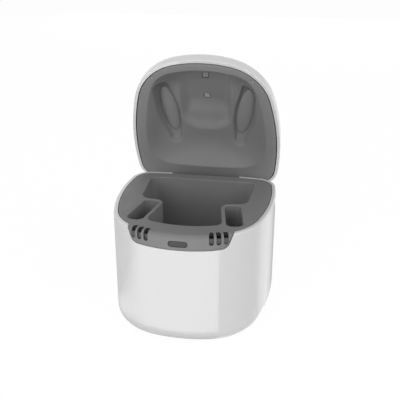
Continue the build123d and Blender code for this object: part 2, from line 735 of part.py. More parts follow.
switch_front = stem_tip + BUTTON_TRAVEL + BUTTON_GAP
with BuildPart() as button_switch:
    with BuildSketch(Plane.XZ.offset(-switch_front)):
        with Locations((0, button_z)):
            Circle(STEM_RADIUS)
    extrude(amount=-SWITCH_DEPTH)
    with BuildSketch(Plane.XZ.offset(-switch_front - SWITCH_DEPTH / 3)):
        with Locations((0, button_z)):
            Rectangle(SWITCH_SIZE, SWITCH_SIZE)
    extrude(amount=-2 * SWITCH_DEPTH / 3)
button_switch.part.label = "button_switch"
export_step(button_switch.part, "parts/button_switch.step")

with BuildPart() as switch_board:
    with BuildSketch(Plane.XZ.offset(-switch_front - SWITCH_DEPTH)):
        with Locations((0, tray_underside)):
            Rectangle(
                SWITCH_BOARD_WIDTH, SWITCH_BOARD_HEIGHT, align=(Align.CENTER, Align.MAX)
            )
    extrude(amount=-SWITCH_BOARD)
switch_board.part.label = "switch_board"
export_step(switch_board.part, "parts/switch_board.step")

# ---------------------------------------------------------------- hinge pin and latch magnets
with BuildPart() as hinge_pin:
    with BuildSketch(Plane.YZ.offset(-HINGE_SPAN / 2 - LUG_WIDTH)):
        with Locations((hinge_y, hinge_z)):
            Circle(PIN_RADIUS)
    extrude(amount=HINGE_SPAN + 2 * LUG_WIDTH)
hinge_pin.part.label = "hinge_pin"
export_step(hinge_pin.part, "parts/hinge_pin.step")


def magnets(underside: float) -> Part:
    """The pair of latch magnets near the front rim, standing on underside."""
    with BuildPart() as pair:
        with BuildSketch(Plane.XY.offset(underside)):
            with Locations((-MAGNET_X, magnet_y), (MAGNET_X, magnet_y)):
                Circle(MAGNET_RADIUS)
        extrude(amount=MAGNET_LENGTH)
    return pair.part


with BuildPart() as tray_magnets:
    add(magnets(tray_underside - MAGNET_LENGTH))
tray_magnets.part.label = "tray_magnets"
export_step(tray_magnets.part, "parts/tray_magnets.step")


# ---------------------------------------------------------------- lid, drawn closed, then swung open
def dome(inset: float) -> Part:
    """The lid's outer form, drawn in by inset from its walls and its spherical crown."""
    with BuildPart() as form:
        with BuildSketch(Plane.XY.offset(lid_plane)):
            add(plan(inset))
        extrude(amount=LID_HEIGHT)
        with Locations((0, DOME_Y, lid_plane + LID_HEIGHT - dome_radius)):
            Sphere(dome_radius - inset, mode=Mode.INTERSECT)
        crown = form.faces().sort_by(Axis.Z)[-1]
        fillet(crown.outer_wire().edges(), LID_EDGE - inset)
    return form.part


def opened(closed: Part) -> Part:
    """A lid piece swung from closed to fully open about the hinge pin."""
    return closed.rotate(hinge_axis, -OPEN_ANGLE)


with BuildPart() as lid_shell:
    add(dome(0))
    add(dome(LID_WALL), mode=Mode.SUBTRACT)
    rim = lid_shell.faces().sort_by(Axis.Z)[0]
    fillet(rim.outer_wire().edges(), LID_RIM_EDGE)
    # hinge arm: the rear wall carried down to a barrel
    with BuildSketch(Plane.XY.offset(hinge_z)):
        add(plan(ARM_INSET))
        add(plan(LID_WALL), mode=Mode.SUBTRACT)
        with Locations((0, hinge_y - BARREL_RADIUS)):
            Rectangle(
                2 * arm_half, DEPTH, align=(Align.CENTER, Align.MIN), mode=Mode.INTERSECT
            )
    extrude(amount=lid_plane - hinge_z + LID_WALL)
    with BuildSketch(Plane.YZ.offset(-arm_half)):
        with Locations((hinge_y, hinge_z)):
            Circle(BARREL_RADIUS)
    barrel = extrude(amount=2 * arm_half, mode=Mode.PRIVATE)
    add(barrel & extrude(plan(ARM_INSET), amount=RIM_HEIGHT, mode=Mode.PRIVATE))
    with BuildSketch(Plane.YZ.offset(-arm_half)):
        with Locations((hinge_y, hinge_z)):
            Circle(PIN_RADIUS + PIN_RUNNING)
    extrude(amount=2 * arm_half, mode=Mode.SUBTRACT)
lid_shell.part = opened(lid_shell.part)
lid_shell.part.label = "lid_shell"
export_step(lid_shell.part, "parts/lid_shell.step")


def bowl_plan(grow: float) -> Sketch:
    """The bowl's mouth seen from above, grown by grow: the case's outline with its rear moved in."""
    rear = DEPTH / 2 - BOWL_REAR_INSET + BOWL_INSET + BOWL_SHIFT
    mouth = plan(BOWL_INSET - grow, rear, BOWL_CORNER + BOWL_INSET)
    return mouth.moved(Location((0, -BOWL_SHIFT)))


def bowl(grow: float) -> Part:
    """The shallow bowl inside the lid, grown by grow."""
    with BuildPart() as form:
        with BuildSketch(Plane.XY.offset(lid_plane)):
            add(bowl_plan(grow))
        extrude(amount=BOWL_DEPTH + grow)
        fillet(form.faces().sort_by(Axis.Z)[-1].edges(), BOWL_EDGE + grow)
    return form.part


def recess_plan(grow: float) -> Sketch:
    """The lamp recess seen from above, grown by grow: a U that opens towards the front rim."""
    with BuildSketch() as outline:
        with Locations((0, recess_rear + grow)):
            Rectangle(2 * (RECESS_HALF + grow), DEPTH, align=(Align.CENTER, Align.MAX))
        fillet(outline.vertices().group_by(Axis.Y)[-1], RECESS_CORNER + grow)
    return outline.sketch


def recess_profile(grow: float) -> Sketch:
    """The lamp recess seen from the side, grown by grow: its floor deepens and climbs back."""
    front = recess_front - grow
    rear = recess_rear + RECESS_CORNER
    with BuildSketch(Plane.YZ.offset(-WIDTH / 2)) as outline:
        with Locations((0, lid_plane)):
            Polygon(
                (front, 0),
                (rear, 0),
                (rear, RECESS_END + grow - recess_climb * RECESS_CORNER),
                (recess_bend, RECESS_DEPTH + grow),
                (front, RECESS_FRONT_DEPTH + grow - recess_slope * grow),
                align=None,
            )
        fillet(outline.vertices().sort_by(Axis.Y)[-1], RECESS_BEND + grow)
    return outline.sketch


def recess(grow: float) -> Part:
    """The lamp recess, grown by grow: sloping walls that run into its floor on a soft edge."""
    spread = RECESS_LEAD * tan(radians(RECESS_DRAFT)) + grow / cos(radians(RECESS_DRAFT))
    with BuildPart() as form:
        with BuildSketch(Plane.XY.offset(lid_plane + BOWL_DEPTH - RECESS_LEAD)):
            add(recess_plan(spread))
        extrude(amount=BOWL_DEPTH, taper=RECESS_DRAFT)
        extrude(recess_profile(grow), amount=WIDTH, mode=Mode.INTERSECT)
        floor_faces = form.faces().filter_by(lambda face: face.normal_at().Z > FLOOR_FACING)
        rim_edges = [
            edge
            for face in floor_faces
            for edge in face.edges()
            if sum(edge.is_same(other) for near in floor_faces for other in near.edges()) == 1
            and edge.center().Y > recess_front
        ]
        fillet(rim_edges, RECESS_EDGE + grow)
    return form.part


def pocket(grow: float) -> Part:
    """The pocket over the right-hand slot, grown by grow: a teardrop narrowing to the rear."""
    spread = POCKET_LEAD * tan(radians(POCKET_DRAFT)) + grow / cos(radians(POCKET_DRAFT))
    with BuildPart() as form:
        with BuildSketch(Plane.XY.offset(lid_plane + BOWL_DEPTH - POCKET_LEAD)):
            with Locations((slot_x, slot_y)):
                for shift, radius in POCKET_CIRCLES:
                    with Locations(shift):
                        Circle(radius + spread)
            make_hull()
        extrude(amount=POCKET_LEAD + POCKET_DEPTH - BOWL_DEPTH + grow, taper=POCKET_DRAFT)
        fillet(form.faces().sort_by(Axis.Z)[-1].edges(), POCKET_EDGE + grow)
    return form.part


def pad_outline(grow: float) -> Sketch:
    """The right-hand hold-down pad seen from above, grown by grow."""
    with BuildSketch() as outline:
        Ellipse(PAD_WIDTH / 2 + grow, PAD_LENGTH / 2 + grow)
    centre = (slot_x + PAD_SHIFT[0], slot_y + PAD_SHIFT[1])
    return outline.sketch.moved(Location(centre, SLOT_TOE))


lamp_slope = Plane(
    origin=(0, recess_bend, lid_plane + RECESS_DEPTH),
    x_dir=(1, 0, 0),
    z_dir=(0, -recess_slope, 1),
)
lamp_spots = [(0, inset - DEPTH / 2 - recess_bend) for inset in (LAMP_FRONT_INSET, LAMP_REAR_INSET)]
lamp_seat = lamp_slope.offset(LINER_WALL)
bumper_spots = [(side * BUMPER_X, BUMPER_FRONT_INSET - DEPTH / 2) for side in (-1, 1)]
pad_face = lid_plane + POCKET_DEPTH + PAD_SEAT - PAD_THICKNESS

with BuildPart() as lid_liner:
    with BuildSketch(Plane.XY.offset(lid_plane)):
        add(plan(LID_WALL + LINER_GAP))
    extrude(amount=LINER_FLANGE)
    add(bowl(LINER_WALL))
    add(recess(LINER_WALL))
    add(pocket(LINER_WALL))
    add(pocket(LINER_WALL).mirror(Plane.YZ))
    add(dome(LID_WALL + LINER_GAP), mode=Mode.INTERSECT)
    add(bowl(0), mode=Mode.SUBTRACT)
    add(recess(0), mode=Mode.SUBTRACT)
    add(pocket(0), mode=Mode.SUBTRACT)
    add(pocket(0).mirror(Plane.YZ), mode=Mode.SUBTRACT)
    # windows for the lamps
    with BuildSketch(lamp_slope.offset(-LINER_WALL)):
        with Locations(*lamp_spots):
            RectangleRounded(LAMP_WINDOW, LAMP_WINDOW, LAMP_WINDOW_CORNER)
    extrude(amount=3 * LINER_WALL, mode=Mode.SUBTRACT)
    # seats for the hold-down pads
    with BuildSketch(Plane.XY.offset(pad_face)):
        add(pad_outline(PAD_GAP))
        mirror(about=Plane.YZ)
    extrude(amount=PAD_THICKNESS, mode=Mode.SUBTRACT)
    # seats for the bumpers
    with BuildSketch(Plane.XY.offset(lid_plane)):
        with Locations(*bumper_spots):
            Circle(BUMPER_RADIUS)
    extrude(amount=BUMPER_SEAT, mode=Mode.SUBTRACT)
lid_liner.part = opened(lid_liner.part)
lid_liner.part.label = "lid_liner"
export_step(lid_liner.part, "parts/lid_liner.step")


# ---------------------------------------------------------------- hold-down pads
def pad() -> Part:
    """The right-hand hold-down pad, its edge rounded on the side that meets the hearing aid."""
    with BuildPart() as soft:
        with BuildSketch(Plane.XY.offset(pad_face)):
            add(pad_outline(0))
        extrude(amount=PAD_THICKNESS)
        fillet(soft.faces().sort_by(Axis.Z)[0].edges(), PAD_EDGE)
    return soft.part


with BuildPart() as pad_right:
    add(opened(pad()))
pad_right.part.label = "pad_right"
export_step(pad_right.part, "parts/pad_right.step")

with BuildPart() as pad_left:
    add(opened(pad().mirror(Plane.YZ)))
pad_left.part.label = "pad_left"
export_step(pad_left.part, "parts/pad_left.step")


# ---------------------------------------------------------------- ultraviolet lamps
with BuildPart() as lamp_board:
    with BuildSketch(lamp_seat):
        with Locations((0, (lamp_spots[0][1] + lamp_spots[1][1]) / 2)):
            Rectangle(
                LAMP_BOARD_WIDTH, LAMP_REAR_INSET - LAMP_FRONT_INSET + 2 * LAMP_BOARD_END
            )
    extrude(amount=LAMP_BOARD)
lamp_board.part = opened(lamp_board.part)
lamp_board.part.label = "lamp_board"
export_step(lamp_board.part, "parts/lamp_board.step")


def lamp(spot: tuple) -> Part:
    """A lamp chip hanging from its board at spot, with four raised dies on its face."""
    with BuildPart() as chip:
        with BuildSketch(lamp_seat):
            with Locations(spot):
                Rectangle(LAMP_SIZE, LAMP_SIZE)
        extrude(amount=-LAMP_HEIGHT)
        with BuildSketch(lamp_seat.offset(-LAMP_HEIGHT)):
            with Locations(spot):
                with GridLocations(LAMP_DIE_PITCH, LAMP_DIE_PITCH, 2, 2):
                    Rectangle(LAMP_DIE, LAMP_DIE)
        extrude(amount=-LAMP_DIE_HEIGHT)
    return chip.part


with BuildPart() as lamp_front:
    add(opened(lamp(lamp_spots[0])))
lamp_front.part.label = "lamp_front"
export_step(lamp_front.part, "parts/lamp_front.step")

with BuildPart() as lamp_rear:
    add(opened(lamp(lamp_spots[1])))
lamp_rear.part.label = "lamp_rear"
export_step(lamp_rear.part, "parts/lamp_rear.step")


# ---------------------------------------------------------------- lid bumpers and magnets
with BuildPart() as lid_bumpers:
    with BuildSketch(Plane.XY.offset(lid_plane - BUMPER_PROUD)):
        with Locations(*bumper_spots):
            Circle(BUMPER_RADIUS - BUMPER_GAP)
    extrude(amount=BUMPER_PROUD + BUMPER_SEAT)
lid_bumpers.part = opened(lid_bumpers.part)
lid_bumpers.part.label = "lid_bumpers"
export_step(lid_bumpers.part, "parts/lid_bumpers.step")

with BuildPart() as lid_magnets:
    add(opened(magnets(lid_plane + LINER_FLANGE)))
lid_magnets.part.label = "lid_magnets"
export_step(lid_magnets.part, "parts/lid_magnets.step")
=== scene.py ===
"""Looks of the hearing aid dryer: finishes, soft pads, lamp lenses, inlet contacts and studio.

Everything is in metres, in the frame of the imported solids: +Z up, the front towards -Y.  The
classes of the object's own pieces hold their sizes in millimetres.
"""

from __future__ import annotations

import json
import logging
import math
from abc import ABC, abstractmethod
from collections.abc import Callable
from dataclasses import dataclass, field
from enum import Enum
from functools import partial

import bpy
import numpy as np
from mathutils import Matrix, Vector
from mathutils.geometry import convex_hull_2d


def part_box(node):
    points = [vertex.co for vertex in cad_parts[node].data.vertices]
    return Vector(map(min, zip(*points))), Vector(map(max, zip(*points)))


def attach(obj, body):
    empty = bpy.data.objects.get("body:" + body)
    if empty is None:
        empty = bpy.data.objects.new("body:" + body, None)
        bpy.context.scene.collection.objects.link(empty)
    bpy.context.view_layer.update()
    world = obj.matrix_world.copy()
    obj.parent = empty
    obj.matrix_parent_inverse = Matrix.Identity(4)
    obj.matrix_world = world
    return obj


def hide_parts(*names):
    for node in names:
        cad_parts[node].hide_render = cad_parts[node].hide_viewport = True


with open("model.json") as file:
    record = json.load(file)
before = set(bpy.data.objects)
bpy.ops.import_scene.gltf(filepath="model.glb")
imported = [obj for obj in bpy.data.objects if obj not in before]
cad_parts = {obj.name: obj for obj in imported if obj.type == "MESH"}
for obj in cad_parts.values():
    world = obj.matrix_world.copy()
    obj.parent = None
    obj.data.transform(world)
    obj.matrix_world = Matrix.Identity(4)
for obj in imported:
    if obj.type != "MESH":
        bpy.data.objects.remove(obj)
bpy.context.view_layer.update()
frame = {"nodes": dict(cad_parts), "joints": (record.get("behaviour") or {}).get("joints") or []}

LOG = logging.getLogger("dryer")
MM = 0.001
LID_PLANE = 66.4  # how high the shut lid's lower edge lies, in millimetres
RISES = (0.0, 1.0)
FALLS = (1.0, 0.0)
NOISE_SPAN = (0.3, 0.7)  # where most values of a noise lie

Pair = tuple[float, float]
Triple = tuple[float, float, float]
Colour = Triple
Face = tuple[int, ...]
Grid = np.ndarray
Piece = bpy.types.Object
Node = bpy.types.Node
Tree = bpy.types.NodeTree
Socket = bpy.types.NodeSocket
Inputs = dict[str | int, Socket | float | tuple[float, ...]]


def rgba(colour: Colour) -> tuple[float, float, float, float]:
    """Gives a colour an alpha of one."""
    return (*colour, 1.0)


def grey(value: float) -> Colour:
    """Gives a neutral colour of one linear value."""
    return (value, value, value)


def scaled(colour: Colour, factor: float) -> Colour:
    """Gives a colour made lighter or darker by a factor."""
    return (colour[0] * factor, colour[1] * factor, colour[2] * factor)


def cleared(owner: bpy.types.Material | bpy.types.World) -> Tree:
    """Gives the node tree of a material or a world, emptied.

    Args:
        owner: The material or world.

    Returns:
        Its node tree.
    """
    owner.use_nodes = True
    owner.node_tree.nodes.clear()
    return owner.node_tree


def add_node(tree: Tree, kind: str, inputs: Inputs | None = None, **settings: str) -> Node:
    """Adds a node with its options and inputs.

    Args:
        tree: The node tree to add to.
        kind: The node's type.
        inputs: Fixed values for its sockets, or the sockets to link to them.
        settings: The node's own options.

    Returns:
        The node.
    """
    node = tree.nodes.new(kind)
    for name, value in settings.items():
        setattr(node, name, value)
    feed(tree, node, inputs or {})
    return node


def feed(tree: Tree, node: Node, inputs: Inputs) -> None:
    """Fills a node's sockets.

    Args:
        tree: The node's tree.
        node: The node.
        inputs: Fixed values for its sockets, or the sockets to link to them.
    """
    for name, value in inputs.items():
        if isinstance(value, Socket):
            tree.links.new(value, node.inputs[name])
        else:
            node.inputs[name].default_value = value


class Pattern(Enum):
    """The grain a surface carries, with the strength of its relief."""

    SPARKED = 0.6
    POLISHED = 0.35


class NodeBench:
    """A material under construction, with short calls for the nodes the finishes share."""

    def __init__(self, name: str) -> None:
        """Starts a material that has only its shader.

        Args:
            name: The material's name.
        """
        self.material = bpy.data.materials.new(name)
        self.tree = cleared(self.material)
        self.shader = add_node(self.tree, "ShaderNodeBsdfPrincipled")
        add_node(self.tree, "ShaderNodeOutputMaterial", {"Surface": self.shader.outputs["BSDF"]})
        self.coordinates = add_node(self.tree, "ShaderNodeTexCoord").outputs["Object"]

    def shade(self, inputs: Inputs) -> None:
        """Fills the shader's own sockets."""
        feed(self.tree, self.shader, inputs)

    def apart(self, vector: Socket) -> bpy.types.NodeOutputs:
        """Splits a vector into its X, Y and Z."""
        return add_node(self.tree, "ShaderNodeSeparateXYZ", {0: vector}).outputs

    def stretched(self, factors: Triple) -> Socket:
        """Scales the object coordinates by a factor for each axis."""
        inputs = {"Vector": self.coordinates, "Scale": factors}
        return add_node(self.tree, "ShaderNodeMapping", inputs).outputs["Vector"]

    def noise(
        self, size: float, detail: float = 2.0, roughness: float = 0.5, vector: Socket | None = None
    ) -> Socket:
        """Adds a noise whose blobs are about one size across.

        Args:
            size: The blob size in metres.
            detail: The number of finer octaves.
            roughness: How strong the finer octaves are.
            vector: Coordinates other than the object's own.

        Returns:
            The noise value, from 0 to 1.
        """
        inputs = {
            "Vector": vector or self.coordinates,
            "Scale": 1.0 / size,
            "Detail": detail,
            "Roughness": roughness,
        }
        return add_node(self.tree, "ShaderNodeTexNoise", inputs).outputs["Fac"]

    def cells(self, size: float) -> Socket:
        """Gives the distance to the nearest point of a cell pattern of one size in metres."""
        inputs = {"Vector": self.coordinates, "Scale": 1.0 / size}
        return add_node(self.tree, "ShaderNodeTexVoronoi", inputs).outputs["Distance"]

    def remap(self, value: Socket, source: Pair, target: Pair) -> Socket:
        """Maps one range of values onto another and clamps it.

        Args:
            value: The value to map.
            source: The range it comes from.
            target: The range it goes to.

        Returns:
            The mapped value.
        """
        names = ("From Min", "From Max", "To Min", "To Max")
        inputs = {"Value": value, **dict(zip(names, (*source, *target)))}
        return add_node(self.tree, "ShaderNodeMapRange", inputs).outputs["Result"]

    def maths(self, operation: str, first: Socket, second: Socket | float) -> Socket:
        """Adds one arithmetic step.

        Args:
            operation: The Math node's operation.
            first: The first value.
            second: The second value, linked or fixed.

        Returns:
            The result.
        """
        inputs = {0: first, 1: second}
        return add_node(self.tree, "ShaderNodeMath", inputs, operation=operation).outputs[0]

    def vector(self, operation: str, first: Socket, second: Triple = (0.0, 0.0, 0.0)) -> Node:
        """Adds one step of vector arithmetic with a fixed second vector."""
        inputs = {0: first, 1: second}
        return add_node(self.tree, "ShaderNodeVectorMath", inputs, operation=operation)

    def distance(self, first: Socket, second: Socket, start: Pair) -> Socket:
        """Measures how far a pair of values lies from a fixed pair.

        Args:
            first: The first value.
            second: The second value.
            start: The fixed pair.

        Returns:
            The distance.
        """
        pair = add_node(self.tree, "ShaderNodeCombineXYZ", {"X": first, "Y": second})
        return self.vector("DISTANCE", pair.outputs[0], (*start, 0.0)).outputs["Value"]

    def blend(self, factor: Socket, low: Colour | Socket, high: Colour) -> Socket:
        """Mixes two colours.

        Args:
            factor: How much of the second colour shows.
            low: The first colour, fixed or linked.
            high: The second colour.

        Returns:
            The mixed colour.
        """
        low = rgba(low) if isinstance(low, tuple) else low
        inputs = {0: factor, 6: low, 7: rgba(high)}
        return add_node(self.tree, "ShaderNodeMix", inputs, data_type="RGBA").outputs[2]

    def relief(
        self, height: Socket, depth: float, strength: float, below: Socket | None = None
    ) -> Socket:
        """Adds a bump.

        Args:
            height: The height pattern, from 0 to 1.
            depth: The depth of the full pattern in metres.
            strength: The bump's strength.
            below: A normal to build on.

        Returns:
            The bent normal.
        """
        inputs = {"Height": height, "Distance": depth, "Strength": strength}
        if below is not None:
            inputs["Normal"] = below
        return add_node(self.tree, "ShaderNodeBump", inputs).outputs["Normal"]


@dataclass(frozen=True)
class Moulded:
    """An injection-moulded plastic or silicone, its sizes in metres.

    It has a faint mottle, a grain from the mould, soft flow lines and handling marks.
    """

    name: str
    colour: Colour
    roughness: float
    pattern: Pattern = Pattern.SPARKED
    grain: float = 0.28 * MM
    depth: float = 0.012 * MM
    patch: float = 14 * MM
    mottle: float = 0.03
    mark: float = 22 * MM
    mark_roughness: float = 0.62
    streak: float = 3 * MM
    drawn: Triple = (1.0, 0.35, 0.2)
    worn: Pair = (0.12, 0.4)
    handling: float = 0.06
    speck_tone: float = 1.6
    specked: Pair = (0.66, 0.8)
    dust: float = 0.02
    sink: float = 30 * MM
    sink_depth: float = 0.05 * MM
    sink_strength: float = 0.25
    coat: float = 0.0
    coat_roughness: float = 0.08
    ior: float = 1.47
    specular: float = 0.5
    sheen: float = 0.0
    sheen_roughness: float = 0.4

    def material(self) -> bpy.types.Material:
        """Builds the material.

        Returns:
            The finished material.
        """
        bench = NodeBench(self.name)
        low, high = (scaled(self.colour, 1.0 + self.mottle * sign) for sign in (-1.0, 1.0))
        patches = bench.remap(bench.noise(self.patch, detail=3.0), NOISE_SPAN, RISES)
        specks = bench.noise(self.grain * 3.0, detail=1.0)
        tone = bench.blend(
            bench.remap(specks, self.specked, (0.0, self.dust)),
            bench.blend(patches, low, high),
            scaled(self.colour, self.speck_tone),
        )
        marks = bench.noise(self.mark, detail=5.0, roughness=self.mark_roughness)
        streaks = bench.noise(self.streak, detail=3.0, vector=bench.stretched(self.drawn))
        wear = bench.maths("MULTIPLY", marks, streaks)
        rough = (self.roughness - self.handling, self.roughness + self.handling)
        bench.shade(
            {
                "Base Color": self.shaded(bench, tone),
                "Roughness": bench.remap(wear, self.worn, rough),
                "Normal": self.surface(bench),
                "IOR": self.ior,
                "Specular IOR Level": self.specular,
                "Coat Weight": self.coat,
                "Coat Roughness": self.coat_roughness,
                "Sheen Weight": self.sheen,
                "Sheen Roughness": self.sheen_roughness,
            }
        )
        return bench.material

    def surface(self, bench: NodeBench) -> Socket:
        """Makes the surface's relief: a slow sink, and the grain of the mould on it.

        Args:
            bench: The material under construction.

        Returns:
            The bent normal.
        """
        sink = bench.noise(self.sink, detail=1.0)
        if self.pattern is Pattern.SPARKED:
            grain = bench.maths("ADD", bench.cells(self.grain), bench.noise(self.grain * 0.8))
        else:
            grain = bench.noise(self.grain * 4.0)
        normal = bench.relief(sink, self.sink_depth, self.sink_strength)
        return bench.relief(grain, self.depth, self.pattern.value, normal)

    def shaded(self, bench: NodeBench, tone: Socket) -> Socket:
        """Gives the colour as it is; a finish with painted shade changes it there."""
        return tone


@dataclass(frozen=True)
class VentedTray(Moulded):
    """The tray's plastic, with painted shade that darkens its vents, where little light comes back.

    The vents lie behind the front corner's arc and the rounded edge on top of it.
    """

    corner: Pair = (9.44 * MM, -11.45 * MM)
    reach: float = 31.7 * MM
    edge: float = 2.25 * MM
    shoulder: float = 63.75 * MM
    skin: float = 0.12 * MM
    span: Pair = (15.6 * MM, 26.0 * MM)
    back: float = 5.0 * MM
    opening: float = 64.7 * MM
    soft: float = 0.1 * MM
    opening_soft: float = 0.3 * MM
    # How dark the painted shade makes the grooves and the openings.
    painted_groove_shade: float = 0.42
    painted_opening_shade: float = 0.2

    def shaded(self, bench: NodeBench, tone: Socket) -> Socket:
        """Paints shade into the vents: their grooves a little, their openings in the top a lot.

        Args:
            bench: The material under construction.
            tone: The plastic's colour.

        Returns:
            The colour with painted shade in the vents.
        """
        place = bench.apart(bench.coordinates)
        aside = bench.maths("ABSOLUTE", place["X"], 0.0)
        out = bench.distance(aside, place["Y"], self.corner)
        hub = (self.reach - self.edge, self.shoulder)
        over = bench.maths("MAXIMUM", out, hub[0])
        rise = bench.maths("MAXIMUM", place["Z"], hub[1])
        depth = bench.distance(over, rise, hub)
        steps = [
            bench.remap(value, (end - self.soft, end), course)
            for value, end, course in (
                (depth, self.edge - self.skin, FALLS),
                (out, self.reach - self.back, RISES),
                (aside, self.span[0], RISES),
                (aside, self.span[1], FALLS),
                (place["Y"], self.corner[1], FALLS),
            )
        ]
        inside = steps[0]
        for step in steps[1:]:
            inside = bench.maths("MULTIPLY", inside, step)
        upper = (self.opening - self.opening_soft, self.opening)
        opening_shade_mask = bench.maths("MULTIPLY", inside, bench.remap(place["Z"], upper, RISES))
        # Painted shade: the vents' grooves and openings are darkened in the colour itself.
        tone = bench.blend(inside, tone, scaled(self.colour, self.painted_groove_shade))
        return bench.blend(opening_shade_mask, tone, scaled(self.colour, self.painted_opening_shade))


@dataclass(frozen=True)
class Metal:
    """A bare metal with turning or brushing marks and a little tarnish, its sizes in metres."""

    name: str
    colour: Colour
    roughness: float
    stretch: Triple = (1.0, 0.05, 0.05)
    patch: float = 4 * MM
    tarnish: float = 0.25
    tarnish_tone: float = 0.55
    line: float = 0.15 * MM
    depth: float = 0.004 * MM
    strength: float = 0.5

    def material(self) -> bpy.types.Material:
        """Builds the material.

        Returns:
            The finished material.
        """
        bench = NodeBench(self.name)
        dull = bench.remap(bench.noise(self.patch, detail=4.0), (0.45, 0.75), (0.0, self.tarnish))
        lines = bench.noise(self.line, detail=3.0, vector=bench.stretched(self.stretch))
        rough = (self.roughness * 0.75, self.roughness * 1.3)
        bench.shade(
            {
                "Base Color": bench.blend(
                    dull, self.colour, scaled(self.colour, self.tarnish_tone)
                ),
                "Roughness": bench.remap(lines, NOISE_SPAN, rough),
                "Normal": bench.relief(lines, self.depth, self.strength),
                "Metallic": 1.0,
            }
        )
        return bench.material


@dataclass(frozen=True)
class SolderMask:
    """A circuit board: green mask over copper runs, with small bare pads, in metres."""

    name: str
    mask: Colour = (0.02, 0.085, 0.04)
    run: Colour = (0.035, 0.14, 0.06)
    pad: Colour = (0.55, 0.5, 0.4)
    pitch: float = 1.3 * MM
    patch: float = 2 * MM
    rough: Pair = (0.3, 0.45)
    depth: float = 0.03 * MM
    strength: float = 0.6

    def material(self) -> bpy.types.Material:
        """Builds the material.

        Returns:
            The finished material.
        """
        bench = NodeBench(self.name)
        inputs = {
            "Vector": bench.coordinates,
            "Scale": 0.16 / self.pitch,
            "Distortion": 1.5,
            "Detail": 1.0,
        }
        wave = add_node(bench.tree, "ShaderNodeTexWave", inputs, wave_profile="TRI")
        runs = bench.remap(wave.outputs["Fac"], (0.55, 0.65), RISES)
        dots = bench.remap(bench.cells(self.pitch * 2.0), (0.14, 0.1), RISES)
        height = bench.maths("ADD", runs, dots)
        bench.shade(
            {
                "Base Color": bench.blend(dots, bench.blend(runs, self.mask, self.run), self.pad),
                "Roughness": bench.remap(bench.noise(self.patch), NOISE_SPAN, self.rough),
                "Normal": bench.relief(height, self.depth, self.strength),
            }
        )
        return bench.material


class Finishes:
    """The finishes of the dryer, each made once."""

    white = Moulded(
        "satin white shell",
        grey(0.80),
        0.30,
        pattern=Pattern.POLISHED,
        grain=0.5 * MM,
        depth=0.01 * MM,
        mottle=0.008,
        handling=0.02,
        dust=0.0,
        coat=1.0,
        specular=0.1,
    )
    # The tray's finish carries painted shade in its vents.
    tray = VentedTray("sparked grey tray", (0.222, 0.222, 0.224), 0.52, specular=0.4)
    liner = Moulded("sparked grey liner", (0.238, 0.238, 0.24), 0.5, specular=0.3)
    dark = Moulded("dark grey plastic", grey(0.045), 0.55)
    button = Moulded(
        "smooth button cap", grey(0.06), 0.45, Pattern.POLISHED, grain=0.3 * MM, specular=0.25
    )
    pad = Moulded(
        "grey silicone pad",
        (0.275, 0.275, 0.278),
        0.42,
        Pattern.POLISHED,
        grain=0.25 * MM,
        handling=0.08,
        sheen=0.1,
    )
    slot_pad = Moulded("soft silicone seat", grey(0.18), 0.55, sheen=0.1)
    rubber = Moulded("grey rubber foot", grey(0.11), 0.75, grain=0.4 * MM, depth=0.03 * MM)
    bumper = Moulded("pale rubber bumper", grey(0.3), 0.6)
    lamp = Moulded("pale lamp package", (0.34, 0.34, 0.335), 0.35, Pattern.POLISHED)
    die = Moulded(
        "clear lamp die",
        (0.46, 0.46, 0.455),
        0.2,
        Pattern.POLISHED,
        grain=0.1 * MM,
        mottle=0.1,
        coat=0.6,
    )
    tongue = Moulded("black inlet tongue", grey(0.02), 0.45)
    board = SolderMask("green circuit board")
    steel = Metal("ground steel", grey(0.55), 0.28)
    plated = Metal("nickel plating", (0.66, 0.64, 0.6), 0.18)
    gold = Metal("gold flash", (0.85, 0.62, 0.28), 0.22)
    # Darker than bare aluminium so that the fins under the grille look less bright: painted shade.
    fins = Metal("plain aluminium", grey(0.42), 0.5, stretch=(0.05, 0.05, 1.0))

    made: dict[str, bpy.types.Material] = {}

    @classmethod
    def get(cls, finish: Finish) -> bpy.types.Material:
        """Gives a finish's material, building it at first use.

        Args:
            finish: The finish.

        Returns:
            Its material.
        """
        if finish.name not in cls.made:
            cls.made[finish.name] = finish.material()
        return cls.made[finish.name]


Finish = Moulded | Metal | SolderMask


def dress(finish: Finish, *nodes: str) -> None:
    """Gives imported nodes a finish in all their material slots.

    Args:
        finish: The finish they get.
        nodes: The nodes' names.
    """
    material = Finishes.get(finish)
    for node in nodes:
        target = frame["nodes"][node]
        if not target.material_slots:
            target.data.materials.append(material)
        for slot in target.material_slots:
            slot.material = material
        LOG.info("%s: %s", node, finish.name)


def declare(piece: Piece, body: str, node: str | None = None) -> None:
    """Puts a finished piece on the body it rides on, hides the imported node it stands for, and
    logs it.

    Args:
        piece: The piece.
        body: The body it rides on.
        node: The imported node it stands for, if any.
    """
    if node is not None:
        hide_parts(node)
    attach(piece, body)
    LOG.info("%s: %d faces", piece.name, len(piece.data.polygons))


def mesh_object(name: str, points: list[Vector], faces: list[Face], smooth: bool = True) -> Piece:
    """Makes a mesh object at the origin.

    Args:
        name: The piece's name.
        points: Its corner points in metres.
        faces: Its faces, as indices of points.
        smooth: Whether its faces are shaded smooth.

    Returns:
        The new object, linked to the scene.
    """
    mesh = bpy.data.meshes.new(name)
    mesh.from_pydata([tuple(p) for p in points], [], faces)
    mesh.polygons.foreach_set("use_smooth", [smooth] * len(mesh.polygons))
    mesh.update()
    piece = bpy.data.objects.new(name, mesh)
    bpy.context.scene.collection.objects.link(piece)
    return piece


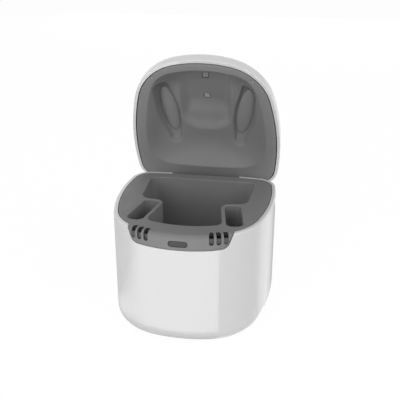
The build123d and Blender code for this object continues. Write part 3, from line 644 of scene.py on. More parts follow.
def skinned(name: str, rings: list[list[Vector]], ends: tuple[Vector, Vector]) -> Piece:
    """Skins rings of points into a closed shape.

    Args:
        name: The piece's name.
        rings: The rings in order, with equally many points in metres.
        ends: The points that close the first and the last ring.

    Returns:
        The piece.
    """
    count = len(rings[0])
    points = [point for ring in rings for point in ring] + list(ends)
    after = [(spot + 1) % count for spot in range(count)]
    faces: list[Face] = []
    for ring in range(len(rings) - 1):
        low, high = ring * count, (ring + 1) * count
        faces += [(low + i, low + j, high + j, high + i) for i, j in enumerate(after)]
    first, last, start = len(points) - 2, len(points) - 1, (len(rings) - 1) * count
    faces += [(first, j, i) for i, j in enumerate(after)]
    faces += [(last, start + i, start + j) for i, j in enumerate(after)]
    return mesh_object(name, points, faces)


def baked(source: Piece, name: str) -> Piece:
    """Turns an object and its modifiers into a plain mesh piece and removes the source.

    Args:
        source: The object to evaluate.
        name: The new piece's name.

    Returns:
        The piece, at the origin and with no modifier.
    """
    graph = bpy.context.evaluated_depsgraph_get()
    mesh = bpy.data.meshes.new_from_object(source.evaluated_get(graph), depsgraph=graph)
    bpy.data.objects.remove(source)
    mesh.name = name
    piece = bpy.data.objects.new(name, mesh)
    bpy.context.scene.collection.objects.link(piece)
    return piece


@dataclass(frozen=True)
class LidFrame:
    """Where the open lid stands: points given for the shut lid are turned about its hinge."""

    hinge: Vector
    angle: float

    @classmethod
    def from_joint(cls) -> LidFrame:
        """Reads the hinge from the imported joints."""
        joint = next(j for j in frame["joints"] if j["name"] == "lid_hinge")
        return cls(Vector(joint["pos_m"]), math.radians(joint["range_deg"][1]))

    def open_up(self, piece: Piece) -> None:
        """Swings a piece made on the shut lid to where it is with the lid open.

        Args:
            piece: The piece.
        """
        turn = Matrix.Rotation(-self.angle, 4, "X")
        swing = Matrix.Translation(self.hinge) @ turn @ Matrix.Translation(-self.hinge)
        piece.data.transform(swing)
        piece.data.update()


class Side(Enum):
    """The four arcs that bound the case seen from above."""

    FRONT = "front"
    REAR = "rear"
    LEFT = "left"
    RIGHT = "right"


@dataclass(frozen=True)
class PlanArcs:
    """The case's outline seen from above: four arcs, drawn in by an inset, in millimetres."""

    inset: float = 0.0
    rear: float = 44.5
    shift: float = 0.0
    front_arc: float = 75.0
    side_arc: float = 132.0
    rear_arc: float = 390.0
    half_width: float = 45.0
    half_depth: float = 44.5
    widest: float = 15.0

    def hub(self, side: Side) -> Triple:
        """Gives one arc's centre and radius.

        Args:
            side: The arc.

        Returns:
            The centre's x and y, and the radius before it is drawn in.
        """
        across = self.side_arc - self.half_width
        return {
            Side.FRONT: (0.0, self.front_arc - self.half_depth, self.front_arc),
            Side.REAR: (0.0, self.rear - self.rear_arc, self.rear_arc),
            Side.LEFT: (across, self.widest, self.side_arc),
            Side.RIGHT: (-across, self.widest, self.side_arc),
        }[side]

    def inside(self, side: Side, x: Grid, y: Grid) -> Grid:
        """Measures how far points lie inside one arc."""
        across, along, radius = self.hub(side)
        return radius - self.inset - np.hypot(x - across, y - self.shift - along)


@dataclass(frozen=True)
class SoftLamp:
    """A rectangular soft lamp. A level of 1 is as bright as the background's white."""

    name: str
    place: Triple
    size: Pair
    level: float
    mirrored: bool = True


@dataclass
class GlowCard(ABC):
    """A glowing card that lies on the table and shows only as a reflection in the white shell."""

    name: str
    corners: tuple[Pair, ...]
    level: float
    low: float
    height: float = 0.8

    @abstractmethod
    def fade(self, bench: NodeBench) -> Socket:
        """Gives how strongly each place of the card glows, from 0 to 1."""

    @staticmethod
    def away(bench: NodeBench, hub: Pair) -> Socket:
        """Gives the vector on the table from a hub, given in millimetres."""
        flat = bench.stretched((1.0, 1.0, 0.0))
        return bench.vector("SUBTRACT", flat, (hub[0] * MM, hub[1] * MM, 0.0)).outputs["Vector"]

    def build(self) -> None:
        """Lays the card."""
        points = [Vector((x, y, self.height)) * MM for x, y in self.corners]
        card = mesh_object(self.name, points, [tuple(range(len(points)))], smooth=False)
        bench = NodeBench(self.name)
        bench.shade(
            {
                "Base Color": rgba(grey(0.0)),
                "Specular IOR Level": 0.0,
                "Emission Color": rgba(grey(1.0)),
                "Emission Strength": bench.remap(self.fade(bench), RISES, (self.low, self.level)),
            }
        )
        card.data.materials.append(bench.material)
        card.visible_camera = False
        card.visible_diffuse = False
        card.visible_shadow = False
        card.visible_transmission = False


@dataclass
class FrontCard(GlowCard):
    """The large card at the front left: it fades to the left and near the case's foot."""

    edge: Pair = (57.0, -95.0)
    heading: Triple = (0.55, -0.835, 0.0)
    left_fade: Pair = (-140.0, -76.0)
    foot_fade: Pair = (4.0, 15.0)

    def fade(self, bench: NodeBench) -> Socket:
        """Fades the card to the left and towards the case.

        Args:
            bench: The card's material.

        Returns:
            The glow's share.
        """
        along = bench.vector("DOT_PRODUCT", self.away(bench, self.edge), self.heading)
        gaps = []
        for side in (Side.FRONT, Side.LEFT):
            *hub, radius = PlanArcs().hub(side)
            reach = bench.vector("LENGTH", self.away(bench, hub)).outputs["Value"]
            gaps.append(bench.maths("SUBTRACT", reach, radius * MM))
        shares = []
        for value, limits in (
            (along.outputs["Value"], self.left_fade),
            (bench.maths("MAXIMUM", *gaps), self.foot_fade),
        ):
            start, end = (limit * MM for limit in limits)
            shares.append(bench.remap(value, (start, end), RISES))
        return bench.maths("MULTIPLY", *shares)


@dataclass
class SideCard(GlowCard):
    """The card at the right: it fades like a fan round the case's front right foot."""

    hub: Pair = (40.0, -12.0)
    rise: Pair = (8.0, 58.0)
    fall: Pair = (66.0, 84.0)
    least: float = 0.6

    def fade(self, bench: NodeBench) -> Socket:
        """Fades the card in and out round its hub.

        Args:
            bench: The card's material.

        Returns:
            The glow's share.
        """
        place = bench.apart(self.away(bench, self.hub))
        turn = bench.maths("ARCTAN2", place["Y"], place["X"])
        rise, fall = (tuple(math.radians(a) for a in angles) for angles in (self.rise, self.fall))
        rising = bench.remap(turn, rise, (self.least, 1.0))
        falling = bench.remap(turn, fall, FALLS)
        return bench.maths("MULTIPLY", rising, falling)


@dataclass
class Studio:
    """The plain floor, the soft lamps and the camera."""

    target: Vector = field(default_factory=lambda: Vector((3.88, 0.0, 67.15)) * MM)
    distance: float = 374.24 * MM
    azimuth: float = 9.74
    elevation: float = 22.89
    roll: float = 0.11
    focal_length: float = 60.21
    sensor: float = 36.0
    nearest: float = 0.01
    ambient: float = 0.42
    floor_reach: float = 3.0
    floor_drop: float = 0.02 * MM
    floor_grey: float = 0.82
    floor_glow: float = 0.9
    floor_white: float = 1.05
    lamps: tuple[SoftLamp, ...] = (
        SoftLamp("front key", (-0.35, -1.0, 0.56), (1.0, 0.8), 1.85),
        SoftLamp("right strip", (0.95, -0.45, 0.65), (0.6, 1.0), 1.55),
        SoftLamp("left fill", (-1.1, -0.1, 0.35), (0.6, 0.8), 0.5),
        SoftLamp("rear fill", (0.0, 1.25, 0.1), (1.0, 0.8), 1.0, mirrored=False),
    )
    cards: tuple[GlowCard, ...] = (
        FrontCard(
            "front_card",
            (
                (20.0, -39.0),
                (167.0, -262.0),
                (0.0, -460.0),
                (-420.0, -260.0),
                (-420.0, 200.0),
                (-40.0, 200.0),
                (-40.0, 0.0),
            ),
            level=3.2,
            low=0.6,
        ),
        SideCard(
            "side_card",
            ((44.0, -10.0), (290.0, 30.0), (230.0, 240.0), (45.0, 150.0)),
            level=1.15,
            low=0.42,
        ),
    )

    def camera(self) -> None:
        """Sets up the camera."""
        data = bpy.data.cameras.new("view camera")
        data.sensor_width = self.sensor
        data.lens = self.focal_length
        data.clip_start = self.nearest
        camera = bpy.data.objects.new("view camera", data)
        turn, lift, tilt = (math.radians(a) for a in (self.azimuth, self.elevation, self.roll))
        level = math.cos(lift)
        back = Vector((math.sin(turn) * level, -math.cos(turn) * level, math.sin(lift)))
        right = Vector((math.cos(turn), math.sin(turn), 0.0))
        side = right * math.cos(tilt) + back.cross(right) * math.sin(tilt)
        place = Matrix((side, back.cross(side), back)).transposed().to_4x4()
        place.translation = self.target + back * self.distance
        camera.matrix_world = place
        bpy.context.scene.collection.objects.link(camera)
        bpy.context.scene.camera = camera

    def softbox(self, lamp: SoftLamp) -> None:
        """Hangs one rectangular soft lamp.

        Args:
            lamp: The lamp's place, aim, size and level.
        """
        data = bpy.data.lights.new(lamp.name, "AREA")
        data.shape = "RECTANGLE"
        data.size, data.size_y = lamp.size
        data.energy = lamp.level * math.pi * lamp.size[0] * lamp.size[1]
        hung = bpy.data.objects.new(lamp.name, data)
        hung.location = lamp.place
        aim = self.target - Vector(lamp.place)
        hung.rotation_euler = aim.to_track_quat("-Z", "Y").to_euler()
        hung.visible_camera = False
        hung.visible_glossy = lamp.mirrored
        bpy.context.scene.collection.objects.link(hung)

    @staticmethod
    def parted(tree: Tree, output: str, cast: Node, seen: Node, share: float = 1.0) -> None:
        """Parts the rays that carry light from those of the camera, reflections and glass.

        Args:
            tree: The node tree to work in.
            output: The type of its output node.
            cast: The shader for rays that carry light.
            seen: The shader for rays that are seen.
            share: How much of the seen shader those rays get.
        """
        path = add_node(tree, "ShaderNodeLightPath").outputs
        ray = path["Is Camera Ray"]
        for kind in ("Is Glossy Ray", "Is Transmission Ray"):
            inputs = {0: ray, 1: path[kind]}
            ray = add_node(tree, "ShaderNodeMath", inputs, operation="MAXIMUM").outputs[0]
        part = add_node(tree, "ShaderNodeMath", {0: ray, 1: share}, operation="MULTIPLY")
        inputs = {0: part.outputs[0], 1: cast.outputs[0], 2: seen.outputs[0]}
        mix = add_node(tree, "ShaderNodeMixShader", inputs)
        add_node(tree, output, {"Surface": mix.outputs[0]})

    def world(self) -> None:
        """Makes a white surround that lights the object at a plain level."""
        world = bpy.data.worlds.new("studio surround")
        bpy.context.scene.world = world
        tree = cleared(world)
        cast, seen = (
            add_node(tree, "ShaderNodeBackground", {"Strength": level, "Color": rgba(grey(1.0))})
            for level in (self.ambient, 1.0)
        )
        self.parted(tree, "ShaderNodeOutputWorld", cast, seen)

    def floor(self) -> None:
        """Lays a white floor that shows as the background but keeps the object's shadow."""
        reach = self.floor_reach
        spots = ((-reach, -reach), (reach, -reach), (reach, reach), (-reach, reach))
        corners = [Vector((x, y, -self.floor_drop)) for x, y in spots]
        floor = mesh_object("studio_floor", corners, [(0, 1, 2, 3)], smooth=False)
        material = bpy.data.materials.new("studio floor")
        tree = cleared(material)
        cast = add_node(tree, "ShaderNodeBsdfDiffuse", {"Color": rgba(grey(self.floor_grey))})
        seen = add_node(tree, "ShaderNodeEmission", {"Strength": self.floor_white})
        self.parted(tree, "ShaderNodeOutputMaterial", cast, seen, self.floor_glow)
        floor.data.materials.append(material)

    def build(self) -> None:
        """Sets up everything round the object."""
        self.camera()
        self.world()
        self.floor()
        for lamp in self.lamps:
            self.softbox(lamp)
        for card in self.cards:
            card.build()
        bpy.context.scene.view_settings.view_transform = "Standard"
        LOG.info("studio: camera, floor, %d lamps, %d cards", len(self.lamps), len(self.cards))


def soft_min(first: Grid, second: Grid | float, width: float) -> Grid:
    """Takes the smaller of two fields and rounds the crease between them.

    Args:
        first: The first field.
        second: The second field, or a level.
        width: How wide the rounding is.

    Returns:
        The smaller field.
    """
    lap = np.maximum(width - np.abs(first - second), 0.0) / width
    return np.minimum(first, second) - lap * lap * width / 4.0


def soft_max(first: Grid, second: Grid | float, width: float) -> Grid:
    """Takes the larger of two fields and rounds the crease between them."""
    return -soft_min(-first, -second, width)


@dataclass
class LinerForm:
    """The lid liner's hollows as one soft depth field over the shut lid, in millimetres.

    A slope is a wall's rise for each millimetre inwards. A field's name ends in soft where it
    is the width of a rounded crease, and a circle is its x, y and radius.
    """

    bowl_depth: float = 9.0
    bowl_shift: float = -1.7
    bowl_inset: float = 8.6
    bowl_rear: float = 41.2
    side_slope: float = 0.82
    front_slope: float = 1.4
    rear_slope: float = 0.94
    side_soft: float = 4.5
    front_soft: float = 6.0
    rear_soft: float = 8.0
    front_blend: float = 16.0
    rear_blend: float = 24.0
    front_corner: float = 5.4
    rear_corner: float = 15.5
    lip_soft: float = 0.5
    recess_half: float = 15.2
    recess_front: float = -34.0
    recess_bend: float = -9.0
    recess_rear: float = 8.6
    recess_start: float = 9.9
    recess_depth: float = 13.4
    recess_fall: float = 0.27
    recess_shelf: float = 11.35
    recess_runout: float = 0.34
    recess_corner: float = 12.0
    recess_lean: float = 0.75
    recess_soft: float = 4.0
    ridge: float = 0.5
    shelf_soft: float = 1.0
    bend_soft: float = 1.6
    runout_soft: float = 0.8
    recess_edge: Pair = (3.0, 2.0)
    recess_lip_soft: float = 1.6
    pocket_depth: float = 11.5
    pocket_margin: float = 1.1
    pocket_curve: float = 1.3
    pocket_wall: float = 1.3
    pocket_climb: float = 0.42
    pocket_soft: float = 1.0
    pocket_edge: Pair = (7.0, 1.5)
    pocket_lip_soft: float = 1.2
    pad_room: float = 0.5
    pocket_circles: tuple[Triple, ...] = ((25.7, -21.6, 4.4), (22.4, -2.0, 6.3), (20.0, 14.5, 3.7))

    def climb(self) -> float:
        """Gives how steeply the recess's floor climbs from the front to its bend."""
        return (self.recess_depth - self.recess_start) / (self.recess_bend - self.recess_front)

    def walls(self, x: Grid, y: Grid) -> tuple[Grid, Grid, Grid]:
        """Measures how far points lie inside the bowl's front, rear and nearer side.

        Args:
            x: The points' x.
            y: Their y.

        Returns:
            The three distances.
        """
        arcs = PlanArcs(self.bowl_inset, self.bowl_rear, self.bowl_shift)
        front, rear, left, right = (arcs.inside(side, x, y) for side in Side)
        return front, rear, np.minimum(left, right)

    def mouth(self, x: Grid, y: Grid) -> Grid:
        """Measures how far points lie inside the bowl's mouth."""
        front, rear, sides = self.walls(x, y)
        return soft_min(soft_min(front, sides, self.front_corner), rear, self.rear_corner)

    def bowl(self, x: Grid, y: Grid, grow: float) -> Grid:
        """Gives the bowl's depth: even flanks at the sides and rear that run into its floor.

        Args:
            x: The points' x.
            y: Their y.
            grow: How far the hollow is grown.

        Returns:
            The bowl's depth.
        """
        front, rear, sides = self.walls(x, y)
        ahead = np.clip(0.5 + (sides - front) / self.front_blend, 0.0, 1.0)
        behind = np.clip(0.5 + (sides - rear) / self.rear_blend, 0.0, 1.0)
        behind = behind * behind * (3.0 - 2.0 * behind)
        slope = self.side_slope + (self.front_slope - self.side_slope) * ahead
        slope += (self.rear_slope - slope) * behind
        soft = self.side_soft + (self.front_soft - self.side_soft) * ahead
        soft += (self.rear_soft - soft) * behind
        flank = self.mouth(x, y) * slope + grow * np.hypot(1.0, slope)
        return soft_min(flank, self.bowl_depth + grow, soft)

    def recess(self, x: Grid, y: Grid, grow: float) -> Grid:
        """Gives the lamp recess's depth: leaning walls that run softly into a bent floor.

        Args:
            x: The points' x.
            y: Their y.
            grow: How far the hollow is grown.

        Returns:
            The recess's depth.
        """
        across = np.sqrt(x * x + self.ridge) - (self.recess_half - self.recess_corner)
        along = y - (self.recess_rear - self.recess_corner)
        outside = np.hypot(np.maximum(across, 0.0), np.maximum(along, 0.0))
        inward = self.recess_corner - outside + grow
        wall = self.bowl_depth + inward / self.recess_lean
        ahead = self.recess_depth + self.climb() * (y - self.recess_bend)
        behind = self.recess_depth - self.recess_fall * (y - self.recess_bend)
        behind = soft_max(behind, self.recess_shelf, self.shelf_soft)
        runout = self.bowl_depth + self.recess_runout * (self.recess_rear - y)
        floor = soft_min(soft_min(ahead, behind, self.bend_soft), runout, self.runout_soft) + grow
        return soft_min(wall, floor, self.recess_soft)

    @staticmethod
    def capsule(x: Grid, y: Grid, one: Triple, two: Triple) -> Grid:
        """Measures how far points lie inside the hull of two circles.

        Args:
            x: The points' x.
            y: Their y.
            one: The wider circle.
            two: The narrower circle.

        Returns:
            The distances, below zero outside.
        """
        run = math.hypot(two[0] - one[0], two[1] - one[1])
        along = ((x - one[0]) * (two[0] - one[0]) + (y - one[1]) * (two[1] - one[1])) / run
        aside = np.abs((x - one[0]) * (two[1] - one[1]) - (y - one[1]) * (two[0] - one[0])) / run
        lean = (one[2] - two[2]) / run
        upright = math.sqrt(1.0 - lean * lean)
        place = np.clip((along - aside * lean / upright) / run, 0.0, 1.0)
        radius = one[2] + (two[2] - one[2]) * place
        return radius - np.hypot(along - place * run, aside)

    def pad_gap(self, x: Grid, y: Grid) -> Grid:
        """Measures how far points lie outside the hold-down pad's oval and its room.

        Args:
            x: The points' x.
            y: Their y.

        Returns:
            The distances, below zero inside.
        """
        pad = HoldDownPad(1.0)
        toe = math.radians(pad.toe)
        half_wide, half_long = (side / 2 + self.pad_room for side in (pad.width, pad.length))
        x, y = x - pad.spot[0], y - pad.spot[1]
        across = (x * math.cos(toe) + y * math.sin(toe)) / half_wide
        along = (y * math.cos(toe) - x * math.sin(toe)) / half_long
        ratio = np.maximum(np.hypot(across, along), 1e-3)
        slope = np.hypot(across / half_wide, along / half_long)
        return ratio * (ratio - 1.0) / np.maximum(slope, 1e-3)

    def pocket(self, x: Grid, y: Grid, grow: float) -> Grid:
        """Gives the depth of the teardrop pocket over each slot.

        Its walls rise from the pad's oval to the bowl, steep outside and long at the tail.

        Args:
            x: The points' x.
            y: Their y.
            grow: How far the hollow is grown.

        Returns:
            The pocket's depth, or the bowl's outside it.
        """
        base = self.bowl(x, y, grow)
        x = np.abs(x)
        gap = self.pad_gap(x, y)
        front, middle, tip = self.pocket_circles
        inside = np.maximum(self.capsule(x, y, middle, front), self.capsule(x, y, middle, tip))
        inside = soft_max(inside, self.pocket_margin - gap, self.pocket_soft) + grow
        share = np.clip(inside / self.pocket_wall, 0.0, 1.0)
        within = 1.0 - (1.0 - share) ** self.pocket_curve
        climb = self.pocket_climb * np.maximum(gap - grow, 0.0)
        floor = np.maximum(self.pocket_depth + grow - climb, base)
        return base + (floor - base) * within + np.minimum(inside, 0.0)

    def depth(self, x: Grid, y: Grid, grow: float = 0.0) -> Grid:
        """Gives the depth of the liner's face, or of its back when grown by the wall.

        Args:
            x: The points' x.
            y: Their y.
            grow: How far the hollows are grown.

        Returns:
            How far above the shut lid's plane the surface lies.
        """
        inside = self.mouth(x, y) + grow
        hollow = self.bowl(x, y, grow)
        for part, (rise, soft), lip_soft in (
            (self.recess(x, y, grow), self.recess_edge, self.recess_lip_soft),
            (self.pocket(x, y, grow), self.pocket_edge, self.pocket_lip_soft),
        ):
            hollow = soft_max(hollow, soft_min(part, rise * inside, soft), lip_soft)
        return soft_max(hollow, 0.0, self.lip_soft)


@dataclass
class Cutters:
    """Straight cutters gathered in one mesh on the shut lid."""

    points: list[Vector] = field(default_factory=list)
    faces: list[Face] = field(default_factory=list)

    def add(self, outline: list[Pair], ends: Pair, place: Matrix) -> None:
        """Adds one cutter.

        Args:
            outline: Its outline, anticlockwise.
            ends: How high its lower and its upper end lie.
            place: Where its own axes lie on the shut lid.
        """
        first, count = len(self.points), len(outline)
        for height in ends:
            self.points.extend(place @ Vector((x, y, height)) * MM for x, y in outline)
        self.faces.append(tuple(reversed(range(first, first + count))))
        self.faces.append(tuple(range(first + count, first + 2 * count)))
        for spot in range(first, first + count):
            after = first + (spot + 1 - first) % count
            self.faces.append((spot, after, count + after, count + spot))


def oval(half_wide: float, half_long: float, steps: int = 96) -> list[Pair]:
    """Draws an oval round the origin.

    Args:
        half_wide: Half its width.
        half_long: Half its length.
        steps: The number of its corners.

    Returns:
        Its corners.
    """
    turns = (math.tau * step / steps for step in range(steps))
    return [(half_wide * math.cos(turn), half_long * math.sin(turn)) for turn in turns]


@dataclass
class LidLiner:
    """The grey liner of the lid: a rim, a soft bowl, a lamp recess and two pockets."""

    lid: LidFrame
    form: LinerForm = field(default_factory=LinerForm)
    wall: float = 1.3
    flange: float = 2.0
    edge: float = 0.3
    inset: float = 2.35
    front_corner: float = 29.9
    rear_corner: float = 10.4
    centre: float = -3.0
    spokes: int = 384
    face_rings: int = 82
    face_span: Pair = (0.012, 0.988)
    back_rings: int = 44
    back_span: Pair = (1.0, 0.02)
    back_steps: Pair = (0.85, 0.5)
    halvings: int = 40
    reach_limit: float = 80.0
    crown_centre: Pair = (4.5, -33.6)
    crown_radius: float = 118.5
    crown_gap: float = 0.1
    least_wall: float = 0.4
    seat_radius: float = 0.95
    seat_spot: Pair = (28.8, -32.0)
    seat_ends: Pair = (-0.5, 1.0)
    lip_levels: tuple[float, ...] = (
        *(-1.3, -0.9, -0.6, -0.35, -0.15, 0.0, 0.1),
        *(0.2, 0.35, 0.55, 0.8, 1.1, 1.5, 2.0),
    )

    def turns(self) -> Grid:
        """Gives the direction of each spoke."""
        return np.arange(self.spokes) * (2.0 * math.pi / self.spokes)

    def outline(self) -> Grid:
        """Finds the liner's outer outline along each spoke, its corners true arcs.

        Returns:
            The reach of each spoke from the centre.
        """
        arcs = PlanArcs(self.inset)
        turn = self.turns()
        reach = self.contour(
            lambda x, y: np.minimum.reduce([arcs.inside(side, x, y) for side in Side]), 0.0
        )
        for end, corner in ((Side.FRONT, self.front_corner), (Side.REAR, self.rear_corner)):
            hubs = (arcs.hub(end), arcs.hub(Side.RIGHT))
            spot = self.crossing(*hubs, self.inset + corner, end)
            touches = []
            for hub in hubs:
                away = spot - np.array(hub[:2])
                touches.append(spot + away / np.linalg.norm(away) * corner)
            angles = sorted(math.atan2(t[1] - self.centre, t[0]) for t in touches)
            for sign in (1.0, -1.0):
                heading = np.arctan2(np.sin(turn), np.cos(turn) * sign)
                within = (heading > angles[0]) & (heading < angles[1])
                ray = np.stack([np.cos(heading), np.sin(heading)])
                hub = spot - np.array([0.0, self.centre])
                along = ray.T @ hub
                out = along + np.sqrt(np.maximum(along**2 - hub @ hub + corner**2, 0.0))
                reach = np.where(within, out, reach)
        return reach

    @staticmethod
    def crossing(one: Triple, two: Triple, drawn: float, end: Side) -> Grid:
        """Finds where two arcs cross on the right once both are drawn in.

        Args:
            one: The first arc's centre and radius.
            two: The second arc's centre and radius.
            drawn: How far both are drawn in.
            end: Whether the crossing is at the front or the rear.

        Returns:
            The crossing point.
        """
        start, other = np.array(one[:2]), np.array(two[:2])
        first, second = one[2] - drawn, two[2] - drawn
        gap = np.linalg.norm(other - start)
        along = (gap**2 + first**2 - second**2) / (2.0 * gap)
        aside = math.sqrt(first**2 - along**2)
        ahead = (other - start) / gap
        left = np.array([-ahead[1], ahead[0]])
        spots = [start + ahead * along + left * aside * sign for sign in (1.0, -1.0)]
        right = [spot for spot in spots if spot[0] > 0.0]
        return min(right, key=lambda s: s[1] if end is Side.FRONT else -s[1])

    def contour(self, inside: Callable[[Grid, Grid], Grid], level: float) -> Grid:
        """Finds how far out each spoke reaches a level of a field that falls outwards.

        Args:
            inside: The field over x and y.
            level: The level to find.

        Returns:
            The reach of each spoke.
        """
        near, far = np.zeros(self.spokes), np.full(self.spokes, self.reach_limit)
        for _ in range(self.halvings):
            middle = (near + far) / 2.0
            held = inside(*self.spread(middle)) > level
            near, far = np.where(held, middle, near), np.where(held, far, middle)
        return near

    def spread(self, reach: Grid) -> tuple[Grid, Grid]:
        """Gives the x and y of the points that lie out along each spoke by its reach."""
        return reach * np.cos(self.turns()), reach * np.sin(self.turns()) + self.centre

    def ring(self, reach: Grid, height: Grid | float) -> list[Vector]:
        """Places one ring of points on the shut lid.

        Args:
            reach: How far out each spoke's point lies.
            height: How far above the lid's plane it lies.

        Returns:
            The points, in metres.
        """
        heights = np.broadcast_to(height, reach.shape) + LID_PLANE
        return [Vector(point) * MM for point in np.stack([*self.spread(reach), heights], axis=1)]

    def formed(self, reach: Grid, grow: float = 0.0) -> list[Vector]:
        """Places one ring of points on the liner's face or back.

        Args:
            reach: How far out each spoke's point lies.
            grow: How far the hollows are grown, 0 for the face.

        Returns:
            The points, in metres.
        """
        x, y = self.spread(reach)
        height = self.form.depth(x, y, grow)
        if grow > 0.0:
            drop = np.sqrt(self.crown_radius**2 - x**2 - (y - self.crown_centre[0]) ** 2)
            crown = self.crown_centre[1] + drop - LID_PLANE - self.crown_gap
            height = np.minimum(np.maximum(height, self.flange), crown)
            height = np.maximum(height, self.form.depth(x, y) + self.least_wall)
        return self.ring(reach, height)

    def rings(self) -> list[list[Vector]]:
        """Lays the rings from the face's middle out over the edge to the back's middle.

        Returns:
            The rings in order.
        """
        outer = self.outline()
        lips = [self.contour(self.form.mouth, level) for level in self.lip_levels]
        inner, lip, rim = lips[-1], lips[0], outer - self.edge
        face = [self.formed(inner * p) for p in np.linspace(*self.face_span, self.face_rings)]
        face += [self.formed(reach) for reach in reversed(lips)]
        face += [self.ring(lip + (rim - lip) * part, 0.0) for part in (0.5, 1.0)]
        half_round = self.edge * (1.0 - math.sin(math.radians(45.0)))
        face += [self.ring(outer - half_round, half_round), self.ring(outer, self.edge)]
        back = [self.ring(outer, self.flange)]
        back += [self.formed(inner + (outer - inner) * p, self.wall) for p in self.back_steps]
        parts = np.linspace(*self.back_span, self.back_rings)
        return face + back + [self.formed(inner * p, self.wall) for p in parts]

    def cutters(self) -> Piece:
        """Makes the cutters for the pad seats, the lamp windows and the bumper seats.

        Returns:
            All cutters as one object on the shut lid.
        """
        cutters = Cutters()
        for pad in HoldDownPad.pair():
            seat = oval(pad.width / 2 + pad.gap, pad.length / 2 + pad.gap)
            cutters.add(seat, (pad.height() - pad.thickness, pad.height()), pad.turned())
        lamps = LampPair()
        for spot in lamps.spots:
            cutters.add(lamps.window_outline(), lamps.window_ends, lamps.slope(spot))
        for sign in (-1.0, 1.0):
            place = Matrix.Translation((sign * self.seat_spot[0], self.seat_spot[1], LID_PLANE))
            seat = oval(self.seat_radius, self.seat_radius, steps=32)
            cutters.add(seat, self.seat_ends, place)
        return mesh_object("liner_cutters", cutters.points, cutters.faces, smooth=False)

    def build(self) -> None:
        """Cuts the seats and windows, opens the liner with the lid and puts it in place."""
        rings = self.rings()
        middles = [sum(ring, Vector()) / self.spokes for ring in (rings[0], rings[-1])]
        shell = skinned("liner_shell", rings, middles)
        cutters = self.cutters()
        cut = shell.modifiers.new("seats and windows", "BOOLEAN")
        cut.operation = "DIFFERENCE"
        cut.solver = "EXACT"
        cut.object = cutters
        piece = baked(shell, "soft_liner")
        bpy.data.objects.remove(cutters)
        self.lid.open_up(piece)
        piece.data.materials.clear()
        piece.data.materials.append(Finishes.get(Finishes.liner))
        declare(piece, "lid", node="lid_liner")


@dataclass
class CrownedPad:
    """A soft pad: a flat back, a rounded edge and a face that swells to a crown."""

    name: str
    reach: Callable[[float], float]
    edge: float
    crown: float
    round_edge: float = 0.35
    edge_steps: int = 5
    swell: float = 2.6
    spokes: int = 96
    rings: int = 26
    back: tuple[Triple, ...] = ((0.0, 0.5, 0.0), (0.0, 0.9, 0.0), (0.12, 1.0, 0.0), (0.0, 1.0, 0.1))

    def rows(self) -> list[Triple]:
        """Lists the pad's rings: how far each is drawn in, its share of the reach, its height.

        Returns:
            The rings from the back's middle to the crown.
        """
        rows = list(self.back)
        for step in range(self.edge_steps + 1):
            angle = math.radians(90.0 * step / self.edge_steps)
            drawn, low = (self.round_edge * (1.0 - f(angle)) for f in (math.cos, math.sin))
            rows.append((drawn, 1.0, self.edge - low))
        for part in (1.0 - step / self.rings for step in range(1, self.rings)):
            rise = (self.crown - self.edge) * (1.0 - part**self.swell)
            rows.append((self.round_edge, part, self.edge + rise))
        return rows

    def shape(self) -> Piece:
        """Makes the pad on its back, facing up, with its middle at the origin.

        Returns:
            The pad.
        """
        spokes = [math.tau * spoke / self.spokes for spoke in range(self.spokes)]
        reaches = [(math.cos(turn), math.sin(turn), self.reach(turn)) for turn in spokes]
        rings = []
        for drawn, part, height in self.rows():
            outs = [(x, y, (reach - drawn) * part) for x, y, reach in reaches]
            rings.append([Vector((x * out, y * out, height)) * MM for x, y, out in outs])
        return skinned(self.name, rings, (Vector(), Vector((0.0, 0.0, self.crown * MM))))

    def finish(self, piece: Piece, finish: Moulded, node: str, body: str) -> None:
        """Args:
            piece: The placed pad.
            finish: Its finish.
            node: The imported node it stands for.
            body: The body it rides on.
        """
        piece.data.materials.append(Finishes.get(finish))
        declare(piece, body, node)


@dataclass
class HoldDownPad:
    """A long oval pad in a pocket of the lid, in millimetres."""

    side: float
    width: float = 9.3
    length: float = 31.4
    gap: float = 0.4
    thickness: float = 0.9
    seat: float = 0.3
    edge: float = 0.42
    crown: float = 1.0
    toe: float = 10.0
    spot: Pair = (22.9, -3.7)

    @classmethod
    def pair(cls) -> tuple[HoldDownPad, HoldDownPad]:
        """Gives the right-hand and the left-hand pad."""
        return cls(1.0), cls(-1.0)

    def height(self) -> float:
        """Gives how high the pad's back lies, at the bottom of its seat in the pocket."""
        return LID_PLANE + LinerForm.pocket_depth + self.seat

    def turned(self, height: float = 0.0) -> Matrix:
        """Gives the pad's place on the shut lid, at a height."""
        place = Matrix.Translation((self.side * self.spot[0], self.spot[1], height))
        return place @ Matrix.Rotation(self.side * math.radians(self.toe), 4, "Z")

    def reach(self, turn: float) -> float:
        """Gives the oval's reach from its middle in one direction."""
        across, along = math.cos(turn) / (self.width / 2), math.sin(turn) / (self.length / 2)
        return 1.0 / math.hypot(across, along)

    def build(self, lid: LidFrame) -> None:
        """Makes the pad and puts it in its pocket.

        Args:
            lid: Where the open lid stands.
        """
        hand = "right" if self.side > 0 else "left"
        pad = CrownedPad(f"hold_down_pad_{hand}", self.reach, self.edge, self.crown)
        piece = pad.shape()
        place = self.turned(self.height())
        place.translation *= MM
        piece.data.transform(place @ Matrix.Rotation(math.pi, 4, "Y"))
        lid.open_up(piece)
        pad.finish(piece, Finishes.pad, f"pad_{hand}", "lid")


